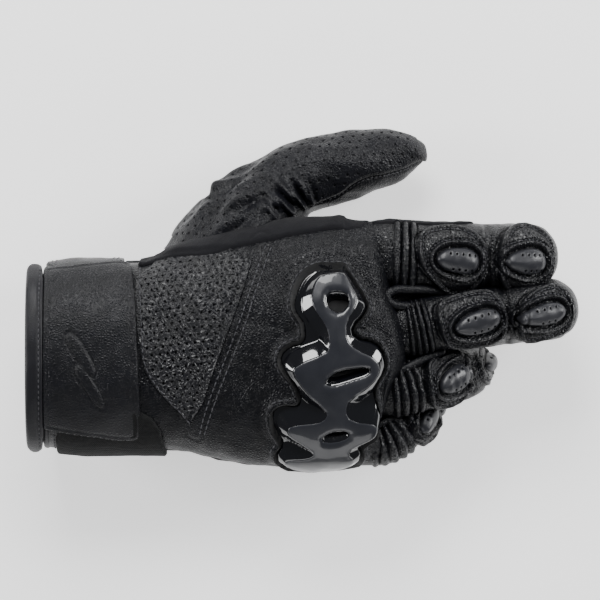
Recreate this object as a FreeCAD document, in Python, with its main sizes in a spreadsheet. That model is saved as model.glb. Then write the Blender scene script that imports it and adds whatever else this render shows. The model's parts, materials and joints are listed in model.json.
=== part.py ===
import FreeCAD, Part
import Sketcher
import os

# Right-hand short-cuff riding glove, as a parametric document.
# The glove lies palm down: +X runs from the cuff to the fingertips, +Y to the thumb, +Z out of the back of the hand.
# The origin is the centre of the cuff opening. Units are millimetres and degrees.

Vector = FreeCAD.Vector
Rotation = FreeCAD.Rotation
Placement = FreeCAD.Placement

doc = FreeCAD.newDocument("riding_glove")

# ---------------------------------------------------------------- driving dimensions

SIZES = [
    # layers
    ("leather", 1.8, "outer leather with its backing"),
    ("overlay", 1.2, "a leather panel sewn on top of another"),
    ("lining_wall", 0.7, "textile lining"),
    ("seat", 0.12, "air left between two layers that lie on each other"),
    ("swing_gap", 0.4, "air left beside a piece that moves"),
    # cuff, from its opening to the wrist
    ("binding_depth", 2.4, "edge binding at the opening, along X"),
    ("binding_proud", 0.8, "binding past the leather, outside and inside"),
    ("cuff_width", 88.0, "opening, along Y"),
    ("cuff_height", 60.0, "opening, along Z"),
    ("cuff_end", 39.5, "X of the cuff panels' wrist end"),
    ("cuff_end_width", 82.0, "wrist end of the cuff, along Y"),
    ("cuff_end_height", 56.0, "wrist end of the cuff, along Z"),
    ("cuff_end_rise", 1.0, "Z of the wrist end's centre"),
    # wrist
    ("wrist_x", 45.0, "wrist hinge"),
    ("wrist_z", 1.5, "wrist hinge"),
    ("wrist_recess", 0.6, "wrist gusset's face below the leather's"),
    # hand shell, wrist to finger roots
    ("hand_start", 50.5, "X of the hand panels' wrist end"),
    ("hand_start_width", 79.0, "along Y"),
    ("hand_start_height", 52.0, "along Z"),
    ("hand_start_shift", 1.0, "Y of the section's centre"),
    ("hand_start_rise", 2.0, "Z of the section's centre"),
    ("knuckle_x", 117.7, "X of the knuckle section"),
    ("knuckle_width", 105.3, "along Y"),
    ("knuckle_height", 44.0, "along Z"),
    ("knuckle_shift", 5.0, "Y of the section's centre"),
    ("knuckle_rise", 8.0, "Z of the section's centre"),
    ("front_x", 143.7, "X where the back panel meets the finger roots"),
    ("front_width", 101.0, "along Y"),
    ("front_height", 30.0, "along Z"),
    ("front_shift", 7.0, "Y of the section's centre"),
    ("front_rise", 12.0, "Z of the section's centre"),
    ("palm_setback", 9.0, "palm panel's front edge behind the back panel's"),
    ("parting_z", 6.0, "Z where the back panel and the palm panel meet"),
    # closure strap
    ("strap_start", -7.3, "X of the strap's bound edge"),
    ("strap_binding", 6.4, "bound edge, along X"),
    ("strap_end", 39.0, "X of the strap's wrist edge"),
    ("strap_wall", 2.4, "strap thickness"),
    ("strap_hinge_z", 8.0, "Z where the strap folds at the thumb side"),
    ("strap_free_y", -35.5, "Y of the strap's free end"),
    ("fastener", 1.0, "hook or loop tape thickness"),
    ("tape_length", 32.0, "hook tape, along X"),
    ("hook_reach", 20.0, "hook tape, along Y from the free end"),
    ("loop_reach", 30.0, "loop tape, along Y over the free end"),
    ("loop_low_z", -6.0, "lowest edge of the loop tape"),
    ("anchor_low_z", -12.0, "lowest edge of the strap's anchor tab"),
    # overlays on the hand
    ("insert_front_thumb", 92.0, "perforated insert: X of its front corner, thumb side"),
    ("insert_front_little", 62.0, "perforated insert: X of its front corner, little side"),
    ("insert_thumb_y", 43.0, "perforated insert: Y of its front corner, thumb side"),
    ("insert_little_y", -33.0, "perforated insert: Y of its front corner, little side"),
    ("insert_wrist_thumb_y", 38.2, "perforated insert: Y of its wrist corner, thumb side"),
    ("insert_wrist_little_y", -11.0, "perforated insert: Y of its wrist corner, little side"),
    ("strip_low_z", 11.0, "side strip: lower edge"),
    ("strip_high_z", 18.0, "side strip: upper edge"),
    ("strip_start", 54.0, "side strip: X of its wrist end"),
    ("strip_in_y", 36.0, "side strip: inner Y it starts from"),
    ("patch_start", 66.0, "palm patch: X of its wrist end"),
    ("patch_end", 118.0, "palm patch: X of its front end"),
    ("patch_low_y", 2.0, "palm patch: Y of its little side"),
    ("patch_high_y", 34.0, "palm patch: Y of its thumb side"),
    # knuckle guard
    ("guard_wall", 2.6, "moulded shell thickness"),
    ("guard_foam", 3.2, "foam under the guard"),
    ("foam_margin", 1.5, "foam outline inside the guard's"),
    # palm slider
    ("slider_x", 70.0, "centre"),
    ("slider_y", -20.0, "centre"),
    ("slider_length", 30.0, "along X"),
    ("slider_width", 22.0, "along Y"),
    ("slider_z", -26.0, "flat outer face"),
    ("slider_corner", 7.0, "corner radius"),
    # finger details
    ("back_gap", 4.5, "back panels end this far from a joint's axis"),
    ("pad_width", 11.5, "finger guard, across the finger"),
    ("pad_height", 4.0, "finger guard above the finger"),
    ("rib_radius", 1.2, "accordion rib"),
    ("rib_pitch", 2.6, "accordion rib spacing"),
    ("rib_count", 3, "accordion ribs at each finger root"),
    # thumb
    ("thumb_root", 62.0, "length of the thumb root, from inside the hand to the joint"),
    ("thumb_root_yaw", 41.0, "direction of the thumb root"),
    ("thumb_root_radius", 12.5, "radius where it leaves the hand"),
]

# Knuckle guard: oval lobes joined by rectangular necks, with oval slots.
# Each is (centre X, centre Y, length along X, width along Y).
GUARD_LOBES = {
    "index": (125.5, 22.5, 29.5, 24.0),
    "middle": (123.5, -3.5, 38.5, 24.0),
    "ring": (116.5, -25.0, 45.0, 18.5),
    "little": (114.5, -39.5, 33.0, 15.0),
}
GUARD_NECKS = {
    "index": (128.0, 9.5, 9.0, 12.0),
    "middle": (125.5, -15.5, 9.5, 12.0),
    "ring": (117.0, -32.5, 26.0, 12.0),
}
GUARD_SLOTS = {
    "index": (129.5, 20.0, 10.5, 6.4),
    "middle": (131.0, -3.0, 16.0, 5.2),
    "ring": (124.5, -25.5, 11.5, 4.4),
}
AREA_SIZES = ("x", "y", "length", "width")
for part, areas in (("lobe", GUARD_LOBES), ("neck", GUARD_NECKS), ("slot", GUARD_SLOTS)):
    for digit, values in areas.items():
        SIZES += [(f"{part}_{digit}_{name}", value, "knuckle guard") for name, value in zip(AREA_SIZES, values)]

# Digits: root joint, its direction, the second joint's extra turn, segment lengths, radii and largest curls.
DIGIT_SIZES = (
    "joint_x", "joint_y", "joint_z", "yaw", "slope", "roll", "bend_yaw", "bend",
    "proximal", "distal", "radius", "tip_radius", "curl", "tip_curl",
)
DIGITS = {
    "index": (151.7, 43.2, 12.0, 0.0, 8.0, 0.0, 0.0, 18.0, 40.0, 31.0, 11.5, 10.8, 52.0, 60.0),
    "middle": (158.3, 12.0, 13.0, 6.5, 8.0, 0.0, 0.0, 16.0, 41.5, 31.0, 11.5, 10.8, 52.0, 60.0),
    "ring": (152.7, -13.8, 12.0, 11.0, 28.0, 0.0, 6.0, 42.0, 31.0, 28.0, 11.0, 10.0, 45.0, 35.0),
    "little": (148.5, -36.5, 8.4, 17.0, 48.0, 0.0, 4.0, 48.0, 24.0, 21.0, 9.8, 9.2, 28.0, 30.0),
    "thumb": (104.7, 72.8, -8.0, 14.0, 2.0, -50.0, -6.0, 3.0, 27.5, 33.0, 14.0, 12.5, 35.0, 50.0),
}
for digit, values in DIGITS.items():
    SIZES += [(digit + "_" + name, value, "digit layout") for name, value in zip(DIGIT_SIZES, values)]
PAD_LENGTHS = {"index": 19.0, "middle": 21.0, "ring": 16.5, "little": 14.0}
SIZES += [(digit + "_pad", length, "finger guard, along the finger") for digit, length in PAD_LENGTHS.items()]
FINGERS = list(PAD_LENGTHS)

sizes = doc.addObject("Spreadsheet::Sheet", "sizes")
for row, (alias, value, note) in enumerate(SIZES, 1):
    sizes.set(f"A{row}", alias)
    sizes.set(f"B{row}", str(value))
    sizes.set(f"C{row}", note)
    sizes.setAlias(f"B{row}", alias)
doc.recompute()


def size(alias):
    """The sheet's value, for placements and for outlines."""
    return float(getattr(sizes, alias))


# ---------------------------------------------------------------- helpers

subparts = {}


def named(name):
    """Puts the sheet's name before each alias in an expression."""
    for alias in sorted((entry[0] for entry in SIZES), key=len, reverse=True):
        name = name.replace("{" + alias + "}", "sizes." + alias)
    return name


def make(kind, name, **properties):
    """A document object whose numeric properties are bound to the sheet where they are given as expressions."""
    made = doc.addObject(kind, name)
    for key, value in properties.items():
        if isinstance(value, str):
            made.setExpression(key, named(value))
        else:
            setattr(made, key, value)
    return made


def cut(name, base, tool):
    return make("Part::Cut", name, Base=base, Tool=tool)


def common(name, base, tool):
    return make("Part::Common", name, Base=base, Tool=tool)


def fuse(name, *shapes):
    return make("Part::MultiFuse", name, Shapes=list(shapes))


def keep(label, made, placement=None):
    """Marks an object as a sub-part: its label names its file."""
    made.Label = label
    if placement is not None:
        made.Placement = placement
    subparts[label] = made
    return made


ALONG_X = Rotation(Vector(1, 1, 1), 120)  # turns a primitive's Z axis to X, its X to Y and its Y to Z
HALF_TURN_X = Rotation(Vector(1, 0, 0), 180)


def box(name, x0, x1, y0, y1, z0, z1):
    """A box between limits that are expressions."""
    return make(
        "Part::Box", name,
        Length=f"({x1}) - ({x0})", Width=f"({y1}) - ({y0})", Height=f"({z1}) - ({z0})",
        **{"Placement.Base.x": x0, "Placement.Base.y": y0, "Placement.Base.z": z0},
    )


def oval(name, x, y, z, width, height, offset):
    """An ellipse across X, grown outwards by offset. Every argument is an expression."""
    made = make(
        "Part::Ellipse", name,
        MajorRadius=f"({width}) / 2 + ({offset})", MinorRadius=f"({height}) / 2 + ({offset})",
    )
    made.Placement = Placement(Vector(0, 0, 0), ALONG_X)
    for axis, value in zip("xyz", (x, y, z)):
        made.setExpression("Placement.Base." + axis, named(value))
    return made


def oval_solid(name, sections, offset):
    """A solid through oval sections (x, y, z, width, height), grown outwards by offset."""
    ovals = [oval(f"{name}_{i}", *section, offset) for i, section in enumerate(sections)]
    return make("Part::Loft", name, Sections=ovals, Solid=True, Ruled=True)


def oval_shell(name, sections, inside, outside):
    """The layer between two offsets of the same oval solid."""
    return cut(name, oval_solid(name + "_outer", sections, outside), oval_solid(name + "_inner", sections, inside))


CUFF = [
    ("{binding_depth} + {seat}", "0", "0", "{cuff_width}", "{cuff_height}"),
    ("{cuff_end}", "0", "{cuff_end_rise}", "{cuff_end_width}", "{cuff_end_height}"),
]
HAND = [
    ("{hand_start}", "{hand_start_shift}", "{hand_start_rise}", "{hand_start_width}", "{hand_start_height}"),
    ("{knuckle_x}", "{knuckle_shift}", "{knuckle_rise}", "{knuckle_width}", "{knuckle_height}"),
    ("{front_x}", "{front_shift}", "{front_rise}", "{front_width}", "{front_height}"),
]
STRAP = [("{strap_start}", "0", "0", "{cuff_width}", "{cuff_height}")] + CUFF
STRAP_RISE = "{seat} * 3 + {fastener} * 2"  # the strap's inner face above the cuff
FAR = "150"  # past every edge of the glove
NEARLY_ONE = 0.999  # the Z part of an upright edge's direction is larger


# ---------------------------------------------------------------- digits


def digit_frames(digit):
    """Placements of a digit's root joint and second joint: X along the segment, Y the curl axis, Z out of its back."""
    value = {name: size(f"{digit}_{name}") for name in DIGIT_SIZES}
    root = Placement(
        Vector(value["joint_x"], value["joint_y"], value["joint_z"]),
        Rotation(value["yaw"], value["slope"], value["roll"]),
    )
    turn = Rotation(value["yaw"] + value["bend_yaw"], value["slope"] + value["bend"], value["roll"])
    second = Placement(root.multVec(Vector(value["proximal"], 0, 0)), turn)
    return root, second


def palm_gap(radius, bend):
    """How far a palm panel stays from a joint's axis, so that the joint can bend this far."""
    return f"{radius} * tan(({bend}) * 1 deg / 2) + {{swing_gap}} * 2"


def half_tube(name, start, end, radius_start, radius_end, wall, back, closed=False):
    """Half of a tapered tube along X, its back half or its palm half, with a domed end if closed."""
    turn = ALONG_X if back else HALF_TURN_X.multiply(ALONG_X)
    length = f"({end}) - ({start})"
    solids = []
    for part, inward, sweep in (("outer", "0", 180), ("inner", wall, 360)):
        first, last = f"{radius_start} - ({inward})", f"{radius_end} - ({inward})"
        cone = make(
            "Part::Cone", f"{name}_{part}", Radius1=first, Radius2=last, Height=length, Angle=sweep,
            Placement=Placement(Vector(0, 0, 0), turn), **{"Placement.Base.x": start},
        )
        if closed:
            dome = make(
                "Part::Sphere", f"{name}_{part}_dome", Radius=last, Angle1=0, Angle2=90, Angle3=sweep,
                Placement=Placement(Vector(0, 0, 0), turn), **{"Placement.Base.x": end},
            )
            cone = fuse(f"{name}_{part}_closed", cone, dome)
        solids.append(cone)
    return cut(name, *solids)


def sleeve(name, start, end, radius, wall, ribs):
    """A thin tube along X with ribs round it."""
    length = f"({end}) - ({start})"
    outer, inner = (
        make(
            "Part::Cylinder", f"{name}_{part}", Radius=r, Height=length,
            Placement=Placement(Vector(0, 0, 0), ALONG_X), **{"Placement.Base.x": start},
        )
        for part, r in (("outer", radius), ("inner", f"{radius} - ({wall})"))
    )
    tube = cut(name + "_tube", outer, inner)
    rings = [
        make(
            "Part::Torus", f"{name}_rib_{i}", Radius1=f"{radius} - {wall} / 2", Radius2="{rib_radius}",
            Placement=Placement(Vector(0, 0, 0), ALONG_X),
            **{"Placement.Base.x": f"(({start}) + ({end})) / 2 + ({i} - ({ribs} - 1) / 2) * {{rib_pitch}}"},
        )
        for i in range(ribs)
    ]
    return fuse(name, tube, *rings) if rings else tube


def guard_pad(name, centre, radius_start, radius_end, length, pad):
    """A raised finger guard on a segment's back, seated on the leather."""
    dome = make(
        "Part::Ellipsoid", name + "_dome",
        Radius1="{pad_height}", Radius2=f"{pad} / 2", Radius3="{pad_width} / 2",
        **{"Placement.Base.x": centre, "Placement.Base.z": f"({radius_start} + {radius_end}) / 2"},
    )
    under = make(
        "Part::Cone", name + "_under", Radius1=f"{radius_start} + {{seat}}", Radius2=f"{radius_end} + {{seat}}",
        Height=length, Placement=Placement(Vector(0, 0, 0), ALONG_X),
    )
    return cut(name, dome, under)


def digit_segments(digit):
    """The two segments of a digit, the gussets at its joints and, on a finger, its guards."""
    root, second = digit_frames(digit)
    radius, tip = f"{{{digit}_radius}}", f"{{{digit}_tip_radius}}"
    proximal, distal = f"{{{digit}_proximal}}", f"{{{digit}_distal}}"
    joint_radius = f"({radius} + {tip}) / 2"
    root_gap = palm_gap(radius, f"{{{digit}_slope}} + {{{digit}_curl}}")
    tip_gap = palm_gap(joint_radius, f"{{{digit}_bend}} + {{{digit}_tip_curl}}")
    for half, back in (("back", True), ("palm", False)):
        near, far = ("{back_gap}", "{back_gap}") if back else (root_gap, tip_gap)
        keep(
            f"{digit}_proximal_{half}",
            half_tube(f"{digit}_p_{half}", near, f"{proximal} - ({far})", radius, joint_radius, "{leather}", back),
            root,
        )
        keep(
            f"{digit}_distal_{half}",
            half_tube(f"{digit}_d_{half}", far, f"{distal} - {tip}", joint_radius, tip, "{leather}", back, True),
            second,
        )
    if digit in FINGERS:
        pad = f"{{{digit}_pad}}"
        keep(
            f"{digit}_knuckle_pad",
            guard_pad(f"{digit}_pad_1", f"{proximal} - {{back_gap}} - {pad} / 2 - {{leather}}",
                      radius, radius, proximal, pad),
            root,
        )
        keep(
            f"{digit}_tip_pad",
            guard_pad(f"{digit}_pad_2", f"{{back_gap}} + {pad} / 2 + {{leather}}",
                      joint_radius, joint_radius, distal, pad),
            second,
        )
    return root, second


def mid_frame(first, second):
    """A frame at the second one's origin, turned halfway between the two."""
    return Placement(second.Base, first.Rotation.slerp(second.Rotation, 0.5))


def joint_gussets(digit, root, second, hand_direction, root_start, ribs):
    """The soft sleeves that join a digit to the hand and its two segments to each other."""
    reach = "{back_gap} - {swing_gap}"
    inner_radius = f"{{{digit}_tip_radius}} - {{leather}}"
    keep(
        f"{digit}_joint_gusset",
        sleeve(f"{digit}_joint_sleeve", f"-({reach})", reach, inner_radius, "{overlay}", 1),
        mid_frame(root, second),
    )
    start_frame = Placement(root.Base, hand_direction)
    keep(
        f"{digit}_accordion_gusset",
        sleeve(f"{digit}_root_sleeve", root_start, reach, f"{{{digit}_radius}} - {{leather}}",
               "{overlay}", ribs),
        mid_frame(start_frame, root),
    )


def build_fingers():
    for digit in FINGERS:
        root, second = digit_segments(digit)
        straight = Rotation(size(digit + "_yaw"), 0, 0)
        root_start = f"{{front_x}} + {{swing_gap}} * 3 - {{{digit}_joint_x}}"
        joint_gussets(digit, root, second, straight, root_start, int(size("rib_count")))


def build_thumb():
    root, second = digit_segments("thumb")
    hand_direction = Rotation(size("thumb_root_yaw"), size("thumb_slope"), size("thumb_roll"))
    joint_gussets("thumb", root, second, hand_direction, "-{back_gap} + {swing_gap}", 1)
    frame = Placement(root.Base, hand_direction)
    hand = oval_solid("hand_seat_for_thumb", HAND, "{seat} * 2 + {overlay}")
    for half, back in (("back", True), ("palm", False)):
        gap = "{back_gap}" if back else palm_gap("{thumb_radius}", "{thumb_curl} + {thumb_root_yaw} - {thumb_yaw}")
        tube = half_tube(f"thumb_r_{half}", "-{thumb_root}", f"-({gap})", "{thumb_root_radius}",
                         "{thumb_radius}", "{leather}", back)
        tube.Placement = frame
        keep(f"thumb_root_{half}", cut(f"thumb_root_{half}_trimmed", tube, hand))
    hole = make(
        "Part::Cone", "thumb_hole", Radius1="{thumb_root_radius} - {leather}", Radius2="{thumb_radius} - {leather}",
        Height="{thumb_root}", Placement=frame.multiply(Placement(Vector(-size("thumb_root"), 0, 0), ALONG_X)),
    )
    return hole


# ---------------------------------------------------------------- hand


def prism(name, points, z0, z1):
    """A body padded from an outline sketch of (x, y) points, between two heights that are sheet expressions."""
    body = doc.addObject("PartDesign::Body", name)
    sketch = body.newObject("Sketcher::SketchObject", name + "_outline")
    plane = next(f for f in body.Origin.OriginFeatures if f.Role == "XY_Plane")
    sketch.AttachmentSupport = [(plane, "")]
    sketch.MapMode = "FlatFace"
    sketch.setExpression("AttachmentOffset.Base.z", named(z0))
    count = len(points)
    places = [Vector(*(float(doc.sizes.evalExpression(named(v))) for v in point), 0) for point in points]
    for i in range(count):
        sketch.addGeometry(Part.LineSegment(places[i], places[(i + 1) % count]), False)
    for i, point in enumerate(points):
        for kind, value in zip(("DistanceX", "DistanceY"), point):
            anchor = (-1, 1)  # the sketch's own origin
            number = float(doc.sizes.evalExpression(named(value)))
            if number < 0:
                index = sketch.addConstraint(Sketcher.Constraint(kind, i, 1, *anchor, -number))
                value = f"-({value})"
            else:
                index = sketch.addConstraint(Sketcher.Constraint(kind, *anchor, i, 1, number))
            sketch.setExpression(f"Constraints[{index}]", named(value))
        before = (i - 1) % count
        sketch.addConstraint(Sketcher.Constraint("Coincident", before, 2, i, 1))
    pad = body.newObject("PartDesign::Pad", name + "_pad")
    pad.Profile = sketch
    pad.setExpression("Length", named(f"({z1}) - ({z0})"))
    return body


def build_hand(thumb_hole):
    shell = oval_shell("hand_leather", HAND, "-{leather}", "0")
    open_shell = cut("hand_leather_open", shell, thumb_hole)
    upper = box("hand_upper", "0", "{front_x}", f"-{FAR}", FAR, "{parting_z}", FAR)
    lower = box("hand_lower", "0", "{front_x} - {palm_setback}", f"-{FAR}", FAR, f"-{FAR}", "{parting_z}")
    keep("hand_back_panel", common("hand_back", open_shell, upper))
    keep("hand_palm_panel", common("hand_palm", open_shell, lower))

    lining = oval_shell("hand_lining_layer", HAND, "-{leather} - {seat} - {lining_wall}", "-{leather} - {seat}")
    reach = box("hand_lining_reach", "0", "{front_x} - {palm_setback}", f"-{FAR}", FAR, f"-{FAR}", FAR)
    keep("hand_lining", cut("hand_lining_open", common("hand_lining_long", lining, reach), thumb_hole))


def build_overlays():
    """The leather panels, patches and armour sewn onto the hand."""
    layer = oval_shell("overlay_layer", HAND, "{seat}", "{seat} + {overlay}")
    insert = prism(
        "insert_outline",
        [
            ("{hand_start} + {overlay}", "{insert_wrist_thumb_y}"),
            ("{hand_start} + {overlay}", "{insert_wrist_little_y}"),
            ("{insert_front_little}", "{insert_little_y}"),
            ("{insert_front_thumb}", "{insert_thumb_y}"),
        ],
        "{front_rise}", FAR,
    )
    keep("perforated_back_insert", common("insert", layer, insert))

    strip_box = box("strip_box", "{strip_start}", "{front_x}", "{strip_in_y}", FAR, "{strip_low_z}", "{strip_high_z}")
    keep("index_side_strip", cut("strip", common("strip_long", layer, strip_box), insert))

    patch_box = box("patch_box", "{patch_start}", "{patch_end}", "{patch_low_y}", "{patch_high_y}", f"-{FAR}", "0")
    keep("palm_patch", common("patch", layer, patch_box))


def guard_ovals(label, part, digits, margin):
    """Upright oval prisms through the back of the hand, at one kind of the guard's ovals, shrunk by a margin."""
    prisms = []
    for digit in digits:
        name = f"{label}_{part}_{digit}"
        ring = make(
            "Part::Ellipse", name + "_ring",
            MajorRadius=f"{{{part}_{digit}_length}} / 2 - ({margin})",
            MinorRadius=f"{{{part}_{digit}_width}} / 2 - ({margin})",
            **{
                "Placement.Base.x": f"{{{part}_{digit}_x}}",
                "Placement.Base.y": f"{{{part}_{digit}_y}}",
                "Placement.Base.z": "{front_rise}",
            },
        )
        upright = make("Part::Extrusion", name, Base=ring, Dir=Vector(0, 0, 1), LengthFwd=FAR, Solid=True)
        upright.DirMode = "Custom"
        prisms.append(upright)
    return prisms


def guard_necks(label, margin):
    """Upright blocks that join neighbouring lobes, shrunk by a margin along X."""
    blocks = []
    for digit in GUARD_NECKS:
        x, y, length, width = (f"{{neck_{digit}_{name}}}" for name in AREA_SIZES)
        blocks.append(box(
            f"{label}_neck_{digit}",
            f"{x} - {length} / 2 + {margin}", f"{x} + {length} / 2 - {margin}",
            f"{y} - {width} / 2", f"{y} + {width} / 2", "{front_rise}", FAR,
        ))
    return blocks


def build_knuckle_guard():
    """Hard guard over the four knuckles, on its foam: lobes joined by necks, with a slot in three of the lobes."""
    foam_top = "{seat} + {guard_foam}"
    slots = fuse("guard_slots", *guard_ovals("guard", "slot", GUARD_SLOTS, "0"))
    for label, inside, outside, margin in (
        ("knuckle_guard", f"{foam_top} + {{seat}}", f"{foam_top} + {{seat}} + {{guard_wall}}", "0"),
        ("knuckle_foam", "{seat}", foam_top, "{foam_margin}"),
    ):
        areas = guard_ovals(label, "lobe", GUARD_LOBES, margin) + guard_necks(label, margin)
        layer = oval_shell(label + "_layer", HAND, inside, outside)
        piece = common(label + "_solid", layer, fuse(label + "_outline", *areas))
        keep(label, cut(label + "_open", piece, slots) if label == "knuckle_guard" else piece)


def build_slider():
    """Hard slider on the heel of the palm, with a flat outer face."""
    block = box(
        "slider_block",
        "{slider_x} - {slider_length} / 2", "{slider_x} + {slider_length} / 2",
        "{slider_y} - {slider_width} / 2", "{slider_y} + {slider_width} / 2", "{slider_z}", "0",
    )
    doc.recompute()
    upright = [
        (i, size("slider_corner"), size("slider_corner"))
        for i, edge in enumerate(block.Shape.Edges, 1)
        if abs(edge.tangentAt(edge.FirstParameter).z) > NEARLY_ONE
    ]
    rounded = make("Part::Fillet", "slider_rounded", Base=block, Edges=upright)
    hand = oval_solid("hand_seat_for_slider", HAND, "{seat}")
    keep("palm_slider", cut("slider", rounded, hand))


def build_webs():
    """Rolled leather strips that close the crotch between two fingers."""
    webs = []
    for first, second in zip(FINGERS, FINGERS[1:]):
        high = f"{{{first}_joint_y}} - {{{first}_radius}}"
        low = f"{{{second}_joint_y}} + {{{second}_radius}}"
        web = make(
            "Part::Cylinder", f"web_{first}_{second}",
            Radius=f"(({high}) - ({low})) / 2 - {{swing_gap}}", Height="{front_height} / 2",
            **{
                "Placement.Base.x": f"{{front_x}} + (({high}) - ({low})) / 2 + {{swing_gap}}",
                "Placement.Base.y": f"(({high}) + ({low})) / 2",
                "Placement.Base.z": "{front_rise} - {front_height} / 4",
            },
        )
        webs.append(web)
    keep("finger_webs", make("Part::Compound", "webs", Links=webs))


# ---------------------------------------------------------------- wrist, cuff and strap


def build_cuff():
    shell = oval_shell("cuff_leather", CUFF, "-{leather}", "0")
    upper = box("cuff_upper", "0", FAR, f"-{FAR}", FAR, "0", FAR)
    lower = box("cuff_lower", "0", FAR, f"-{FAR}", FAR, f"-{FAR}", "0")
    keep("cuff_back_panel", common("cuff_back", shell, upper))
    keep("cuff_palm_panel", common("cuff_palm", shell, lower))
    keep("cuff_lining", oval_shell("cuff_lining_layer", CUFF, "-{leather} - {seat} - {lining_wall}",
                                   "-{leather} - {seat}"))
    rim = [
        ("0", "0", "0", "{cuff_width}", "{cuff_height}"),
        ("{binding_depth}", "0", "0", "{cuff_width}", "{cuff_height}"),
    ]
    keep("cuff_edge_binding", oval_shell("cuff_binding", rim, "-{leather} - {binding_proud}", "{binding_proud}"))
    middle = "({strap_end} + {binding_depth}) / 2"
    loop = oval_shell("loop_layer", CUFF, "{seat}", "{seat} + {fastener}")
    loop_box = box("loop_box", f"{middle} - {{tape_length}} / 2", f"{middle} + {{tape_length}} / 2",
                   f"-{FAR}", "{strap_free_y} + {loop_reach}", "{loop_low_z}", FAR)
    keep("loop_fastener", common("loop", loop, loop_box))
    tab = oval_shell("anchor_layer", CUFF, "{seat}", STRAP_RISE + " + {strap_wall}")
    tab_box = box("anchor_box", "0", FAR, "0", FAR, "{anchor_low_z}", "{strap_hinge_z} - {swing_gap}")
    keep("strap_anchor_tab", common("anchor", tab, tab_box))

    wrist = [
        ("{cuff_end} + {swing_gap}", "0", "{cuff_end_rise}", "{cuff_end_width}", "{cuff_end_height}"),
        ("{hand_start} - {swing_gap}", "{hand_start_shift}", "{hand_start_rise}",
         "{hand_start_width}", "{hand_start_height}"),
    ]
    keep("wrist_gusset", oval_shell("wrist_band", wrist, "-{leather}", "-{wrist_recess}"))


def build_strap():
    """The closure strap over the back of the cuff, which folds open at its thumb side."""
    reach = ("{strap_free_y}", FAR, "{strap_hinge_z}", FAR)
    strap = oval_shell("strap_layer", STRAP, STRAP_RISE, STRAP_RISE + " + {strap_wall}")
    main_box = box("strap_box", "{strap_start} + {strap_binding} + {seat}", "{strap_end}", *reach)
    keep("wrist_strap", common("strap", strap, main_box))
    edge = oval_shell("strap_edge_layer", STRAP, STRAP_RISE, STRAP_RISE + " + {strap_wall} + {seat}")
    edge_box = box("strap_edge_box", "{strap_start}", "{strap_start} + {strap_binding}", *reach)
    keep("strap_edge_binding", common("strap_edge", edge, edge_box))
    middle = "({strap_end} + {binding_depth}) / 2"
    hook = oval_shell("hook_layer", STRAP, "{seat} * 2 + {fastener}", "{seat} * 2 + {fastener} * 2")
    hook_box = box("hook_box", f"{middle} - {{tape_length}} / 2", f"{middle} + {{tape_length}} / 2",
                   "{strap_free_y}", "{strap_free_y} + {hook_reach}", "{strap_hinge_z}", FAR)
    keep("hook_fastener", common("hook", hook, hook_box))


# ---------------------------------------------------------------- build, check and export


def check():
    doc.recompute()
    for made in doc.Objects:
        if "Invalid" in made.State or "Error" in made.State:
            raise RuntimeError(f"{made.Label} failed: {made.getStatusString()}")
    for label, made in subparts.items():
        shape = made.Shape
        if shape.isNull() or not shape.isValid() or not shape.Solids or shape.Volume <= 0:
            raise RuntimeError(f"{label} has no valid solid")


def main():
    build_fingers()
    thumb_hole = build_thumb()
    build_hand(thumb_hole)
    build_overlays()
    build_knuckle_guard()
    build_slider()
    build_webs()
    build_cuff()
    build_strap()
    check()
    os.makedirs("parts", exist_ok=True)
    for label, made in subparts.items():
        made.Shape.exportStep(f"parts/{label}.step")
        bounds = made.Shape.optimalBoundingBox(False)
        print(f"{label}: {len(made.Shape.Solids)} solid, {made.Shape.Volume:.0f} mm3, "
              f"x {bounds.XMin:.1f}..{bounds.XMax:.1f}, y {bounds.YMin:.1f}..{bounds.YMax:.1f}, "
              f"z {bounds.ZMin:.1f}..{bounds.ZMax:.1f}")


main()
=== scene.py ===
import bpy
import json
import math
import numpy as np
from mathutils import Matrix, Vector


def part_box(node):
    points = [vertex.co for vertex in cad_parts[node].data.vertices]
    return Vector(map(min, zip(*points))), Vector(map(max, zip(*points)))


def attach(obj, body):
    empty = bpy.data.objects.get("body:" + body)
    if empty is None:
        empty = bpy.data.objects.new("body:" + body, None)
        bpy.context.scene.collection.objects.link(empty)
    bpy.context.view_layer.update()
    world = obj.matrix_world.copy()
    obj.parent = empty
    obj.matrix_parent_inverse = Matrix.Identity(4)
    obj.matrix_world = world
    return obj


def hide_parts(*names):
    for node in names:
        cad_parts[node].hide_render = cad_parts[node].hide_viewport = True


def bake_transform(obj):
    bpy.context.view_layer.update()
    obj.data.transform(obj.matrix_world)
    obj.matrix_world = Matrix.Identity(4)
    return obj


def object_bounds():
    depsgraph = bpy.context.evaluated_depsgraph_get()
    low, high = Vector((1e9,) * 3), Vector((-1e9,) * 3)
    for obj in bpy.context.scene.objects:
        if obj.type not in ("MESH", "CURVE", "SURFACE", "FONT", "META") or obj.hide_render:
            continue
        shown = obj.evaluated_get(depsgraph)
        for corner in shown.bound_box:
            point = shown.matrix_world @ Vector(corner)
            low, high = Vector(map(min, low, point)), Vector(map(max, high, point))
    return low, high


# Right-hand riding glove. Shapes are worked out in millimetres in the CAD frame: +X to the fingertips,
# +Y to the thumb, +Z out of the back of the hand, origin at the centre of the cuff opening.

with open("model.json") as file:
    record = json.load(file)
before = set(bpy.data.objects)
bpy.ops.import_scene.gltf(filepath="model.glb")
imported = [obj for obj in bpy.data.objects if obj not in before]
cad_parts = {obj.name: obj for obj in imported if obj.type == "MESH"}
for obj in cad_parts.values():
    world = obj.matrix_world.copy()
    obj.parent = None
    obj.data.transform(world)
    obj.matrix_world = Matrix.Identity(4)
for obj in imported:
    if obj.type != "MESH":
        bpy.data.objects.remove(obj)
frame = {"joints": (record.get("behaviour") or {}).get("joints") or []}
cad_box = [list(corner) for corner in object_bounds()]

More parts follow.
